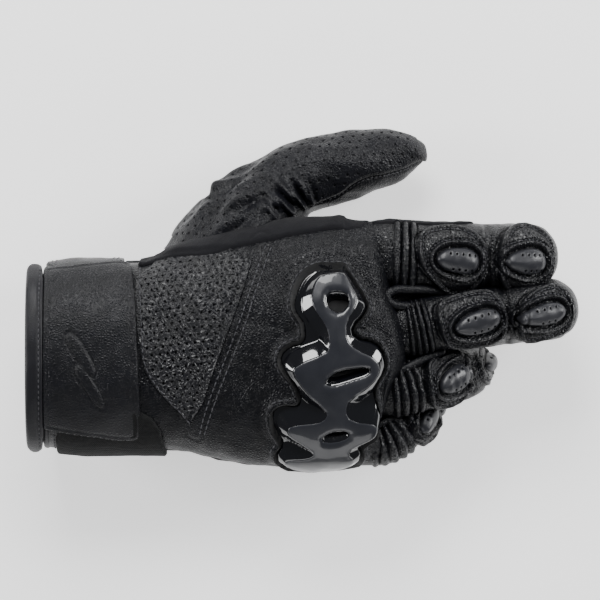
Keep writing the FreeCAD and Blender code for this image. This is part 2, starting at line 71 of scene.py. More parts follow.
MM = 0.001
TINY = 1e-12  # keeps a division away from zero
JOINTS = {joint["name"]: joint for joint in frame["joints"]}


# ---------------------------------------------------------------- numbers to shapes


def smooth(x, low, high):
    """0 below low, 1 above high, and a smooth step between."""
    t = np.clip((x - low) / (high - low), 0.0, 1.0)
    return t * t * (3 - 2 * t)


def bell(x, width):
    """A smooth bump of height 1 at x = 0."""
    return np.exp(-((x / width) ** 2))


def cubic(at, values, slopes, x):
    """Values between knots, from the values and slopes at the knots."""
    i = np.clip(np.searchsorted(at, x, side="right") - 1, 0, len(at) - 2)
    step = at[i + 1] - at[i]
    t = (x - at[i]) / step
    if values.ndim > 1:
        step, t = step[:, None], t[:, None]
    from_start = (1 + 2 * t) * (1 - t) ** 2 * values[i] + t * (1 - t) ** 2 * step * slopes[i]
    return from_start + t * t * (3 - 2 * t) * values[i + 1] + t * t * (t - 1) * step * slopes[i + 1]


def curve(*points):
    """A smooth function through (x, y) points, flat beyond the first and the last."""
    xs, ys = np.array(points, float).T
    slopes = np.gradient(ys, xs)
    slopes[0] = slopes[-1] = 0.0
    return lambda x: cubic(xs, ys, slopes, np.clip(x, xs[0], xs[-1]))


def waves(seed, wavelength, count=7):
    """A repeatable smooth random field over (u, v), between about -1 and 1."""
    draw = np.random.default_rng(seed)
    turn = draw.uniform(0, math.pi, count)
    length = wavelength * draw.uniform(0.6, 1.7, count)
    phase = draw.uniform(0, 2 * math.pi, count)

    def value(u, v):
        total = 0.0
        for a, w, p in zip(turn, length, phase):
            total = total + np.sin(2 * math.pi * (u * math.cos(a) + v * math.sin(a)) / w + p)
        return total / count * 1.6

    return value


def rounded(points, rounds=2):
    """A closed outline with its corners cut round and its long edges left straight."""
    points = np.array(points, float)
    for _ in range(rounds):
        after = np.roll(points, -1, axis=0)
        points = np.stack([points * 0.75 + after * 0.25, points * 0.25 + after * 0.75], 1).reshape(-1, 2)
    return points


def nearest_squared(points, starts, ends):
    """Squared distance from (n, 2) points to the nearest of some straight segments."""
    x, y = points[:, 0], points[:, 1]
    best = np.full(len(points), np.inf)
    for (ax, ay), (bx, by) in zip(starts, ends):
        ex, ey = bx - ax, by - ay
        t = np.clip(((x - ax) * ex + (y - ay) * ey) / (ex * ex + ey * ey + TINY), 0, 1)
        best = np.minimum(best, (x - ax - t * ex) ** 2 + (y - ay - t * ey) ** 2)
    return best


def distance_to(points, outline):
    """Signed distance from (n, 2) points to a closed outline, negative inside."""
    x, y = points[:, 0], points[:, 1]
    ends = np.roll(outline, -1, axis=0)
    inside = np.zeros(len(points), bool)
    for (ax, ay), (bx, by) in zip(outline, ends):
        crosses = (ay > y) != (by > y)
        inside ^= crosses & (x < ax + (y - ay) * (bx - ax) / ((by - ay) if by != ay else 1.0))
    return np.where(inside, -1.0, 1.0) * np.sqrt(nearest_squared(points, outline, ends))


def distance_to_line(points, line):
    """Distance from (n, 2) points to an open line of points."""
    return np.sqrt(nearest_squared(points, line[:-1], line[1:]))


def offset_line(line, by):
    """The same line moved sideways, to its left for a positive amount."""
    line = np.array(line, float)
    along = np.gradient(line, axis=0)
    along /= np.linalg.norm(along, axis=1, keepdims=True) + TINY
    return line + by * np.stack([-along[:, 1], along[:, 0]], 1)


def run_length(line):
    """The distance along a line at each of its points."""
    return np.concatenate([[0], np.cumsum(np.linalg.norm(np.diff(line, axis=0), axis=1))])


def even(line, step):
    """Points at equal steps along a line in any number of dimensions."""
    line = np.array(line, float)
    lengths = run_length(line)
    count = max(int(lengths[-1] / step), 2)
    at = np.linspace(0, lengths[-1], count + 1)
    return np.stack([np.interp(at, lengths, line[:, k]) for k in range(line.shape[1])], 1)


def spline(points, step=1.0):
    """A smooth open line through points in any number of dimensions."""
    points = np.array(points, float)
    chord = run_length(points)
    at = np.linspace(0, chord[-1], max(int(chord[-1] / step), 4))
    return cubic(chord, points, np.gradient(points, chord, axis=0), at)


# ---------------------------------------------------------------- meshes


def make_object(name, points, faces, uv=None, sharp=40):
    """A smooth-shaded object from points in millimetres, with (s, v) as its panel coordinates."""
    mesh = bpy.data.meshes.new(name)
    mesh.from_pydata((np.asarray(points) * MM).tolist(), [], [list(map(int, face)) for face in faces])
    mesh.validate()
    mesh.shade_smooth()
    mesh.set_sharp_from_angle(angle=math.radians(sharp))
    if uv is not None:
        layer = mesh.uv_layers.new(name="panel")
        corners = np.zeros(len(mesh.loops), int)
        mesh.loops.foreach_get("vertex_index", corners)
        layer.data.foreach_set("uv", np.asarray(uv, np.float32)[corners].ravel())
    made = bpy.data.objects.new(name, mesh)
    bpy.context.collection.objects.link(made)
    return made


def grid_faces(rows, columns, closed, start=0):
    """Faces of a grid of points stored row by row; a closed grid joins its last column to its first."""
    faces = []
    for r in range(rows - 1):
        for c in range(columns if closed else columns - 1):
            a, b = start + r * columns + c, start + r * columns + (c + 1) % columns
            faces.append((a, a + columns, b + columns, b))
    return faces


def fill(distance, low, high, step):
    """Fills the inside of a signed distance over (u, v): its points, faces and rim edges."""
    us = np.arange(low[0], high[0] + step, step)
    vs = np.arange(low[1], high[1] + step, step)
    columns = len(vs)
    points = np.stack(np.meshgrid(us, vs, indexing="ij"), -1).reshape(-1, 2)
    depth = distance(points)
    on_rim = np.abs(depth) < 0.3 * step
    probe = 0.05 * step
    near = points[on_rim]
    rises = [distance(near + way) - distance(near - way) for way in probe * np.eye(2)]
    slope = np.stack(rises, 1) / (2 * probe)
    slope /= np.maximum((slope**2).sum(1), 0.3)[:, None]
    points[on_rim] -= depth[on_rim][:, None] * slope
    inside = (depth < 0) | on_rim

    corner = (np.arange(len(us) - 1)[:, None] * columns + np.arange(columns - 1)[None]).ravel()
    cells = np.stack([corner, corner + columns, corner + columns + 1, corner + 1], 1)
    full = inside[cells].sum(1)
    faces = [tuple(cell) for cell in cells[full == 4]]
    added, extra = {}, []
    for cell in cells[(full > 0) & (full < 4)]:
        face = []
        for k in range(4):
            a, b = cell[k], cell[(k + 1) % 4]
            if inside[a]:
                face.append(a)
            if inside[a] == inside[b]:
                continue
            i, o = (a, b) if inside[a] else (b, a)
            if on_rim[i]:
                face.append(i)
                continue
            if (i, o) not in added:
                t = depth[i] / (depth[i] - depth[o])
                added[i, o] = len(points) + len(extra)
                extra.append(points[i] * (1 - t) + points[o] * t)
            face.append(added[i, o])
        face = [p for k, p in enumerate(face) if p != face[k - 1]]
        if len(set(face)) >= 3:
            faces.append(tuple(face))
    points = np.vstack([points, np.array(extra).reshape(-1, 2)])
    used = np.unique(np.concatenate([np.array(face) for face in faces]))
    renumber = np.full(len(points), -1)
    renumber[used] = np.arange(len(used))
    faces = [tuple(renumber[list(face)]) for face in faces]
    edges = {(face[k - 1], face[k]) for face in faces for k in range(len(face))}
    rim = [(a, b) for a, b in edges if (b, a) not in edges]
    return points[used], faces, sorted(rim)


def plate(name, surface, distance, low, high, step, lift, base, sharp=45):
    """A panel laid on a surface: its face at lift(points, depth inside the rim), its rim down to base.

    Its outline is where distance is 0, and its face is a grid of squares of a given step between the
    corners low and high.
    """
    flat, faces, rim = fill(distance, low, high, step)
    depth = np.maximum(-distance(flat), 0)
    face_points = surface(flat[:, 0], flat[:, 1], lift(flat, depth))
    ids = sorted({a for edge in rim for a in edge})
    under = {a: len(flat) + k for k, a in enumerate(ids)}
    rim_points = surface(flat[ids, 0], flat[ids, 1], np.full(len(ids), float(base)))
    faces = faces + [(b, a, under[a], under[b]) for a, b in rim]
    points = np.vstack([face_points, rim_points])
    return make_object(name, points, faces, np.vstack([flat, flat[ids]]), sharp)


def outline_plate(name, surface, outline, step, lift, base):
    """A plate that fills a closed outline."""
    low, high = outline.min(0), outline.max(0)
    return plate(name, surface, lambda points: distance_to(points, outline), low, high, step, lift, base)


def round_over(depth, radius):
    """0 at a rim and 1 from one radius inside it, along a quarter circle."""
    return np.sqrt(1 - (1 - np.clip(depth / radius, 0, 1)) ** 2)


def rounded_lift(height, radius):
    """A lift with a rounded rim."""
    return lambda flat, depth: height - radius + radius * round_over(depth, radius)


def level_lift(height):
    """A lift of one height all over."""
    return lambda flat, depth: np.full(len(flat), height)


def sweep(name, line, radius, sides=12, up=(0, 0, 1), closed=False):
    """A round roll along a line of points, with domed ends unless it is closed."""
    line = np.array(line, float)
    if closed:
        along = np.roll(line, -1, axis=0) - np.roll(line, 1, axis=0)
    else:
        along = np.gradient(line, axis=0)
    along /= np.linalg.norm(along, axis=1, keepdims=True)
    up = np.broadcast_to(np.array(up, float), line.shape)
    side = np.cross(along, up)
    side /= np.linalg.norm(side, axis=1, keepdims=True)
    top = np.cross(side, along)
    radii = np.broadcast_to(np.asarray(radius, float), (len(line),)).copy()
    if not closed:
        run = run_length(line)
        end = np.minimum(run, run[-1] - run) / radii.max()
        radii *= round_over(np.maximum(end, 0.02), 1.0)
    turn = np.arange(sides) * 2 * math.pi / sides
    rings = line[:, None] + radii[:, None, None] * (
        side[:, None] * np.cos(turn)[None, :, None] + top[:, None] * np.sin(turn)[None, :, None]
    )
    faces = grid_faces(len(line), sides, True)
    if closed:
        last = (len(line) - 1) * sides
        faces += [(last + k, k, (k + 1) % sides, last + (k + 1) % sides) for k in range(sides)]
    else:
        faces += [tuple(range(sides)), tuple(range(len(line) * sides - 1, (len(line) - 1) * sides - 1, -1))]
    faces = [face[::-1] for face in faces]
    return make_object(name, rings.reshape(-1, 3), faces, sharp=60)


# The length of a stitch, the gap to the next and half the thread's thickness.
HEAVY_STITCH = (2.1, 0.75, 0.30)
THUMB_STITCH = (1.4, 0.6, 0.26)
FRAME_STITCH = (1.2, 0.6, 0.28)
STRAP_STITCH = (1.6, 0.8, 0.30)


def stitches(name, rows, kind=HEAVY_STITCH):
    """Rows of separate stitches. A row is (surface, line of (s, v) points, lift)."""
    length, gap, thread = kind
    rings, sides = 6, 6
    turn = np.arange(sides) * 2 * math.pi / sides
    points, faces = [], []
    for surface, line, lift in rows:
        flat = even(line, (length + gap) / 6)
        on = surface(flat[:, 0], flat[:, 1], np.full(len(flat), lift))
        above = surface(flat[:, 0], flat[:, 1], np.full(len(flat), lift + 1.0))
        run = run_length(on)
        for start in np.arange(gap / 2, run[-1] - length, length + gap):
            at = start + length * np.linspace(0, 1, rings)
            middle = np.stack([np.interp(at, run, on[:, k]) for k in range(3)], 1)
            up = np.stack([np.interp(at, run, (above - on)[:, k]) for k in range(3)], 1)
            along = middle[-1] - middle[0]
            side = np.cross(along, up)
            side /= np.linalg.norm(side, axis=1, keepdims=True)
            swell = thread * np.sin(np.linspace(0.12, math.pi - 0.12, rings)) ** 0.5
            first = len(points)
            for m, u, s, r in zip(middle, up, side, swell):
                centre = m + u * (r * 0.55 - thread * 0.45)
                points.extend(centre + r * (s * math.cos(a) + u * math.sin(a)) for a in turn)
            faces += grid_faces(rings, sides, True, first)
            last = first + (rings - 1) * sides
            faces += [tuple(first + np.arange(sides)[::-1]), tuple(last + np.arange(sides))]
    return make_object(name, np.array(points), faces, sharp=80)


# ---------------------------------------------------------------- tubes


class Tube:
    """A limb of the glove: oval sections along a centre line.

    s is the distance along it and v the distance round it from the middle of its back, growing to the
    thumb side.
    """

    ANGLES = np.radians(np.arange(-180, 181, 3))

    def __init__(self, s, centre, side, half_width, up, down, power=2.2):
        self.s = np.array(s, float)
        self.centre = np.array(centre, float)
        along = np.gradient(self.centre, self.s, axis=0)
        along /= np.linalg.norm(along, axis=1, keepdims=True)
        side = np.broadcast_to(np.array(side, float), self.centre.shape)
        side = side - (side * along).sum(1, keepdims=True) * along
        self.side = side / np.linalg.norm(side, axis=1, keepdims=True)
        self.back = np.cross(along, self.side)
        self.half_width = np.broadcast_to(half_width, self.s.shape)
        self.up = np.broadcast_to(up, self.s.shape)
        self.down = np.broadcast_to(down, self.s.shape)
        self.power = power
        self.detail = lambda s, v: 0.0  # relief of the skin at (s, v)
        self.shift = lambda s, y: 0.0  # how far the skin is moved along X at (s, Y)
        sizes = (self.half_width[:, None], self.up[:, None], self.down[:, None])
        reach = self._radius(*sizes, self.ANGLES[None])
        x, y = reach * np.sin(self.ANGLES), reach * np.cos(self.ANGLES)
        steps = np.hypot(np.diff(x, axis=1), np.diff(y, axis=1))
        run = np.concatenate([np.zeros((len(self.s), 1)), np.cumsum(steps, axis=1)], axis=1)
        self.arc = run - run[:, [len(self.ANGLES) // 2]]

    def _radius(self, width, up, down, angle):
        height = np.where(np.cos(angle) >= 0, up, down)
        p = self.power
        return ((np.abs(np.sin(angle)) / width) ** p + (np.abs(np.cos(angle)) / height) ** p) ** (-1 / p)

    def _at(self, values, s):
        if values.ndim == 1:
            return np.interp(s, self.s, values)
        return np.stack([np.interp(s, self.s, values[:, k]) for k in range(values.shape[1])], -1)

    def girth(self, s, sign):
        """How far round the section the middle of its palm side is, on one side."""
        return self._at(self.arc[:, -1] if sign > 0 else self.arc[:, 0], s)

    def angle(self, s, v):
        i = np.clip(np.searchsorted(self.s, s, side="right") - 1, 0, len(self.s) - 2)
        f = np.clip((s - self.s[i]) / (self.s[i + 1] - self.s[i]), 0, 1)[:, None]
        arc = self.arc[i] * (1 - f) + self.arc[i + 1] * f
        k = np.clip((arc < v[:, None]).sum(1) - 1, 0, len(self.ANGLES) - 2)
        rows = np.arange(len(s))
        low, high = arc[rows, k], arc[rows, k + 1]
        return self.ANGLES[k] + (v - low) / (high - low) * (self.ANGLES[1] - self.ANGLES[0])

    def surface(self, s, v, lift=0.0):
        s, v = np.asarray(s, float), np.asarray(v, float)
        angle = self.angle(s, v)
        width, up, down = (self._at(x, s) for x in (self.half_width, self.up, self.down))
        reach = self._radius(width, up, down, angle) + self.detail(s, v) + lift
        side, back = self._at(self.side, s), self._at(self.back, s)
        points = self._at(self.centre, s) + reach[:, None] * (
            side * np.sin(angle)[:, None] + back * np.cos(angle)[:, None]
        )
        points[:, 0] += self.shift(s, points[:, 1])
        return points

    def flat(self, points):
        """(X, Y) points seen from above, on the upper half of a tube along X, as (s, v) points."""
        points = np.array(points, float)
        y = points[:, 1]
        s = points[:, 0]
        for _ in range(12):
            s = points[:, 0] - self.shift(s, y)
        width, up = self._at(self.half_width, s), self._at(self.up, s)
        across = np.clip((y - self._at(self.centre, s)[:, 1]) / width, -0.999, 0.999)
        height = up * (1 - np.abs(across) ** self.power) ** (1 / self.power)
        angle = np.arctan2(width * across, height)
        i = np.clip(np.searchsorted(self.s, s) - 1, 0, len(self.s) - 1)
        return np.stack([s, [np.interp(a, self.ANGLES, self.arc[k]) for a, k in zip(angle, i)]], 1)

    def skin(self, name, s_values, low=-1.0, high=1.0, step=0.9, tip=False):
        """The tube's surface over a stretch of s, from low to high as shares of the way round to the palm."""
        s_values = np.asarray(s_values, float)
        closed = low == -1.0 and high == 1.0
        longest = max(self.girth(s_values, 1).max(), -self.girth(s_values, -1).min())
        count = int(longest * (high - low) / step)
        fractions = np.linspace(low, high, count, endpoint=not closed)
        s = np.repeat(s_values, count)
        w = np.tile(fractions, len(s_values))
        v = np.where(w >= 0, w * self.girth(s, 1), -w * self.girth(s, -1))
        points = self.surface(s, v)
        faces = grid_faces(len(s_values), count, closed)
        if tip:
            last = (len(s_values) - 1) * count
            points = np.vstack([points, points[last:].mean(0)])
            faces += [(last + k, len(points) - 1, last + (k + 1) % count) for k in range(count)]
            s, v = np.append(s, s[-1]), np.append(v, 0.0)
        return make_object(name, points, faces, np.stack([s, v], 1), sharp=60)


# ---------------------------------------------------------------- materials


class Nodes:
    """A material's node tree, with short calls for adding and joining nodes."""

    def __init__(self, name):
        self.material = bpy.data.materials.new(name)
        self.material.use_nodes = True
        self.tree = self.material.node_tree
        self.shader = self.tree.nodes["Principled BSDF"]

    def add(self, kind, inputs=(), **settings):
        node = self.tree.nodes.new(kind)
        for key, value in settings.items():
            setattr(node, key, value)
        for key, value in dict(inputs).items():
            if isinstance(value, bpy.types.NodeSocket):
                self.tree.links.new(value, node.inputs[key])
            else:
                node.inputs[key].default_value = value
        return node

    def math(self, operation, a, b=0.0):
        return self.add("ShaderNodeMath", {0: a, 1: b}, operation=operation).outputs[0]

    def mix(self, factor, a, b):
        node = self.add("ShaderNodeMix", {"Factor": factor}, data_type="RGBA")
        for socket, colour in ((node.inputs[6], a), (node.inputs[7], b)):
            socket.default_value = (*colour, 1.0)
        return node.outputs[2]

    def ramp(self, value, low, high, to_low=0.0, to_high=1.0, smooth=False):
        return self.add(
            "ShaderNodeMapRange",
            {"Value": value, "From Min": low, "From Max": high, "To Min": to_low, "To Max": to_high},
            interpolation_type="SMOOTHSTEP" if smooth else "LINEAR",
        ).outputs[0]

    def noise(self, size, detail=3.0, roughness=0.55):
        """Noise whose features are about size millimetres."""
        place = self.add("ShaderNodeTexCoord").outputs["Object"]
        return self.add(
            "ShaderNodeTexNoise",
            {"Vector": place, "Scale": 1 / (size * MM), "Detail": detail, "Roughness": roughness},
        ).outputs["Fac"]

    def cells(self, size, feature="F1"):
        place = self.add("ShaderNodeTexCoord").outputs["Object"]
        return self.add(
            "ShaderNodeTexVoronoi", {"Vector": place, "Scale": 1 / (size * MM)}, feature=feature
        ).outputs["Distance"]

    def link(self, output, name):
        self.tree.links.new(output, self.shader.inputs[name])

    def bump(self, height, distance, strength=1.0, after=None):
        inputs = {"Height": height, "Distance": distance * MM, "Strength": strength}
        if after is not None:
            inputs["Normal"] = after
        return self.add("ShaderNodeBump", inputs).outputs["Normal"]

    def set(self, **values):
        for key, value in values.items():
            self.shader.inputs[key.replace("_", " ")].default_value = value


def leather(name, dark, light, grain, depth, roughness, pebble=0.5, specular=0.30):
    """Dyed leather: rounded grain cells of a size in millimetres, fine creases, and glossier high spots."""
    nodes = Nodes(name)
    cells = nodes.cells(grain, "DISTANCE_TO_EDGE")
    bead = nodes.ramp(cells, 0.0, 0.42, smooth=True)
    fine = nodes.noise(grain * 0.55, 5.0, 0.6)
    broad = nodes.noise(9.0, 3.0)
    beads = nodes.math("MULTIPLY", bead, pebble)
    height = nodes.math("ADD", beads, nodes.math("MULTIPLY", fine, 1 - pebble))
    creases = nodes.bump(nodes.noise(5.5, 4.0), 0.35, 0.35)
    nodes.link(nodes.bump(height, depth, 1.0, creases), "Normal")
    nodes.link(nodes.mix(nodes.ramp(broad, 0.35, 0.7), dark, light), "Base Color")
    worn = nodes.ramp(broad, 0.3, 0.75, roughness + 0.06, roughness - 0.06)
    nodes.link(nodes.math("ADD", worn, nodes.ramp(bead, 0.0, 1.0, 0.12, 0.0)), "Roughness")
    nodes.set(Specular_IOR_Level=specular)
    return nodes.material


def fabric(name, dark, light, thread, roughness=0.85, sheen=0.3):
    """Knitted or woven textile: crossed threads with a soft sheen."""
    nodes = Nodes(name)
    place = nodes.add("ShaderNodeTexCoord").outputs["Object"]
    split = nodes.add("ShaderNodeSeparateXYZ", {"Vector": place})
    turns = 2 * math.pi / (thread * MM)
    ribs = [nodes.math("SINE", nodes.math("MULTIPLY", split.outputs[k], turns)) for k in range(3)]
    weave = nodes.math("MULTIPLY", nodes.math("ADD", ribs[0], ribs[2]), ribs[1])
    fuzz = nodes.noise(thread * 1.5, 4.0, 0.7)
    height = nodes.math("ADD", nodes.math("MULTIPLY", weave, 0.25), fuzz)
    nodes.link(nodes.bump(height, thread * 0.25), "Normal")
    nodes.link(nodes.mix(nodes.ramp(fuzz, 0.3, 0.7), dark, light), "Base Color")
    nodes.set(Roughness=roughness, Sheen_Weight=sheen, Sheen_Roughness=0.5, Specular_IOR_Level=0.12)
    return nodes.material


def moulded(name, colour, roughness, coat=0.0, texture=0.0):
    """Moulded plastic or rubber."""
    nodes = Nodes(name)
    smudge = nodes.noise(14.0, 3.0)
    nodes.link(nodes.ramp(smudge, 0.3, 0.7, roughness * 0.8, roughness * 1.25), "Roughness")
    nodes.link(nodes.mix(smudge, colour, tuple(1.35 * c for c in colour)), "Base Color")
    nodes.link(nodes.bump(nodes.noise(0.5 if texture else 30.0, 2.0), max(texture, 0.02)), "Normal")
    nodes.set(Coat_Weight=coat, Coat_Roughness=0.03)
    return nodes.material


MATERIALS = {
    "black_leather": leather(
        "smooth_leather", (0.0022, 0.0024, 0.0038), (0.0044, 0.0047, 0.0070), grain=1.15, depth=0.27,
        roughness=0.31),
    "hand_leather": leather(
        "hand_leather", (0.0014, 0.0016, 0.0028), (0.0030, 0.0033, 0.0052), grain=1.2, depth=0.20,
        roughness=0.30, pebble=0.9, specular=0.24),
    "perforated_leather": leather(
        "pebbled_leather", (0.0026, 0.0028, 0.0042), (0.0060, 0.0063, 0.0090), grain=1.6, depth=0.42,
        roughness=0.29, pebble=1.0, specular=0.44),
    "thumb_leather": leather(
        "thumb_leather", (0.0030, 0.0032, 0.0048), (0.0060, 0.0063, 0.0088), grain=1.25, depth=0.17,
        roughness=0.33, pebble=0.85, specular=0.24),
    "finger_leather": leather(
        "finger_leather", (0.0014, 0.0016, 0.0028), (0.0032, 0.0035, 0.0056), grain=1.2, depth=0.23,
        roughness=0.27, pebble=0.95, specular=0.42),
    "palm_suede": leather(
        "palm_leather", (0.007, 0.007, 0.008), (0.013, 0.013, 0.015), grain=0.8, depth=0.14, roughness=0.55,
        pebble=0.3),
    "edge_binding": leather(
        "binding_leather", (0.006, 0.006, 0.008),
        (0.010, 0.010, 0.013), grain=0.9, depth=0.10, roughness=0.36),
    "thread": leather(
        "thread", (0.040, 0.040, 0.045), (0.070, 0.070, 0.078), grain=0.4, depth=0.06, roughness=0.45),
    "side_strip": fabric(
        "side_strip_fabric", (0.006, 0.006, 0.0075), (0.010, 0.010, 0.012), thread=0.45, sheen=0.04),
    "stretch_gusset": fabric(
        "stretch_fabric", (0.005, 0.005, 0.006), (0.010, 0.010, 0.012), thread=0.6, sheen=0.05),
    "lining": fabric("lining_fabric", (0.012, 0.012, 0.013), (0.028, 0.028, 0.03), thread=0.7, sheen=0.5),
    "loop_tape": fabric("loop_pile", (0.004, 0.004, 0.0045), (0.011, 0.0115, 0.0115), thread=0.9, sheen=0.06),
    "hook_tape": moulded("hook_plastic", (0.008, 0.008, 0.009), 0.5, texture=0.2),
    "gloss_guard": moulded("gloss_plastic", (0.0035, 0.0037, 0.005), 0.10, coat=1.0),
    "guard_spine": moulded("satin_spine", (0.0125, 0.0134, 0.0175), 0.36, coat=0.45),
    "slider_plastic": moulded("satin_plastic", (0.012, 0.012, 0.013), 0.32),
    "foam_base": moulded("foam", (0.003, 0.003, 0.0035), 0.7, texture=0.15),
    "perforated_guard": moulded("guard_rubber", (0.016, 0.0165, 0.020), 0.36, texture=0.05),
}


def finish(made, look, body=None, blend=None, replaces=()):
    """Gives a piece its material and slot, and the body it moves with; a piece that spans two bodies (blend)
    is only baked where it lies.
    """
    made.data.materials.clear()
    made.data.materials.append(MATERIALS[look])
    if blend:
        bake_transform(made)
    else:
        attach(made, body)
    if replaces:
        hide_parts(*replaces)
    return made


# ---------------------------------------------------------------- hand

HAND_START, HAND_FRONT = 34.0, 157.0
FRONT_ROUND = 9.0
WRIST = ("cuff", "hand", (38.0, 0.0, 0.0), (54.0, 0.0, 0.0))  # the stretch that bends when the cuff turns

hand_x = np.arange(HAND_START, HAND_FRONT + 1.0, 1.0)
hand_end = np.sqrt(1 - np.clip((hand_x - (HAND_FRONT - FRONT_ROUND)) / (FRONT_ROUND + 0.3), 0, 1) ** 2)
hand_y = curve((34, 0.5), (50, 1.0), (66, 3.0), (90, 4.8), (112, 6.9), (135, 8.4), (150, 10.6), (160, 10.8))
hand_z = curve((34, 1.0), (50, 2.0), (90, 6.0), (118, 9.0), (144, 12.0), (160, 12.5))
hand_half = curve(
    (34, 39.6), (50, 40.6), (66, 45.0), (90, 48.7), (112, 50.7), (135, 49.5), (148, 47.2), (160, 44.6))
hand_up = curve((34, 28.0), (50, 26.5), (90, 24.0), (118, 22.0), (140, 17.5), (150, 14.5), (160, 13.0))
hand_down = curve((34, 29.0), (50, 27.0), (90, 25.5), (118, 23.5), (140, 18.0), (150, 16.5), (160, 14.0))
hand = Tube(
    hand_x,
    np.stack([hand_x, hand_y(hand_x), hand_z(hand_x)], 1),
    (0, 1, 0),
    hand_half(hand_x) * (0.25 + 0.75 * hand_end),
    hand_up(hand_x) * hand_end + 0.4,
    hand_down(hand_x) * hand_end + 0.4,
    power=2.35,
)

# The knuckle line falls back towards the little finger and the index finger.
front_edge = curve((-50, -14.0), (-32, -14.0), (-22, -9.5), (-14, -6.5), (-4, -3.0), (10, -3.0), (17, -5.0),
                   (24, -8.0), (32, -8.4), (46, -8.4), (60, -7.0))
hand.shift = lambda s, y: front_edge(y) * smooth(s, 130, HAND_FRONT)

# Outlines on the back of the hand, as (X, Y) points seen from above.
INSERT = rounded(
    hand.flat([(41.0, 39.5), (96.7, 46.2), (86.0, 19.3), (62.9, -30.5), (52.0, -17.5), (43.4, -2.0)]), 1)
INSERT_FRONT = hand.flat([(98.5, 47.5), (86.4, 19.0), (62.0, -31.5)])
GUARD_BASE = [
    (114.0, 30.2), (117.8, 33.3), (122.6, 34.7), (133.4, 34.7), (136.1, 31.1), (141.2, 21.0),
    (140.2, 17.6), (134.2, 12.5), (134.6, 8.2), (142.0, 6.8), (144.4, 2.8), (144.1, -2.0), (139.6, -7.6),
    (138.2, -12.0), (138.4, -18.5), (139.6, -22.0), (138.8, -26.3), (131.4, -32.6), (132.2, -36.5),
    (128.5, -42.2), (120.0, -46.2), (106.0, -46.0), (98.8, -43.0), (95.6, -38.0), (100.4, -33.5),
    (97.2, -28.0), (96.9, -21.0), (100.5, -17.6), (109.0, -17.6), (110.2, -15.5), (109.4, -9.0),
    (103.4, -2.6), (103.4, 1.5), (107.0, 4.6), (114.0, 6.2), (114.8, 12.8), (111.0, 18.1), (110.9, 21.5),
]
GUARD_SPINE = [
    (120.7, 27.8), (123.1, 29.5), (132.3, 30.2), (135.2, 28.1), (139.0, 21.0), (138.0, 18.4),
    (132.8, 13.6), (132.5, 7.5), (135.2, 5.0), (142.0, 2.3), (142.6, -1.6), (139.0, -6.4), (131.3, -12.2),
    (129.4, -16.5), (130.8, -20.2), (138.0, -22.3), (137.4, -25.7), (130.3, -31.0), (128.4, -34.0),
    (130.4, -36.8), (127.0, -41.4), (119.8, -44.6), (107.0, -44.2), (100.5, -41.6), (98.4, -38.2),
    (102.0, -36.8), (110.1, -36.0), (114.5, -34.0), (110.1, -31.2), (103.2, -27.1), (102.6, -24.6),
    (104.3, -22.6), (117.3, -21.6), (122.2, -19.1), (121.7, -16.2), (113.5, -10.5), (107.8, -3.5),
    (110.1, -0.8), (123.6, 3.4), (125.3, 5.6), (125.0, 10.0), (123.4, 12.8), (118.6, 17.9), (118.3, 22.0),
    (119.3, 25.4),
]
GUARD_SLOTS = [
    [(124.6, 21.0), (127.0, 23.2), (134.0, 22.6), (135.0, 19.6), (130.3, 16.0), (126.0, 17.6)],
    [(122.2, -6.4), (128.4, -2.1), (138.4, -0.8), (138.8, -2.6), (131.3, -5.5), (125.5, -7.2)],
    [(117.8, -28.2), (124.1, -24.9), (129.4, -24.7), (128.9, -26.9), (124.6, -28.6)],
]
guard_base = rounded(hand.flat(GUARD_BASE), 1)
guard_spine = rounded(hand.flat(GUARD_SPINE), 1)
guard_slots = [rounded(hand.flat(points), 1) for points in GUARD_SLOTS]
EDGE = 0.6  # radius of the guard's edges
INSIDE = 9.0  # a depth well inside every rim


def surround_distance(points):
    """Signed distance to the opening in the leather round the guard."""
    return distance_to(points, guard_base) - 0.5


hand_waves = [waves(3, 34.0), waves(5, 15.0), waves(8, 7.0)]
KNUCKLE_RIDGE = hand.flat([(141.0, 44.0), (143.5, 34.0), (144.5, 26.0), (150.0, 17.0), (149.0, 3.0),
                           (146.5, -8.0), (143.0, -22.0), (138.0, -36.0)])
SADDLE = (2.6, 14.0)  # rise of the leather round the guard, and how far out it reaches
BED_DEPTH = 1.8  # of the leather under the guard
STEP_AFTER_INSERT = 0.9
RIDGE = (1.9, 3.2)  # height and half width of the ridge over the knuckles
PALM_HOLLOW = 5.0
SEAM_SHARE = 0.53  # the hand's side seams, as a share of the way round to the palm


def hand_detail(s, v):
    """Relief of the leather: guard's bed, insert's seam, knuckle ridge, creases, the palm's hollow."""
    flat = np.stack([s, v], 1)
    back = smooth(-np.abs(v), -78, -66)
    bed = surround_distance(flat)
    relief = SADDLE[0] * bell(np.maximum(bed, 0), SADDLE[1]) * back
    relief += (1.5 * bell(bed - 1.2, 1.2) - 0.5 * bell(bed - 2.7, 0.5) - 0.6 * bell(bed - 5.0, 1.6)) * back
    relief -= BED_DEPTH * smooth(-bed, -0.3, 0.5) * back
    seam = distance_to_line(flat, INSERT_FRONT)
    in_insert = smooth(-distance_to(flat, INSERT), -0.2, 0.9)
    relief += STEP_AFTER_INSERT * smooth(s, 55, 62) * (1 - in_insert) * back
    relief -= 0.5 * bell(seam - 4.2, 0.55) * back
    ridge = distance_to_line(flat, KNUCKLE_RIDGE)
    relief += RIDGE[0] * bell(ridge, RIDGE[1]) * back
    calm = 1 - 0.6 * smooth(-bed, -3, 3)
    relief += (0.55 * hand_waves[0](s, v) + 0.28 * hand_waves[1](s, v) + 0.10 * hand_waves[2](s, v)) * calm
    palm = smooth(np.abs(v), 80, 110)
    hollow = bell(s - 100, 26) * bell(np.abs(v) - 128, 34)
    return relief - PALM_HOLLOW * hollow * palm


hand.detail = hand_detail


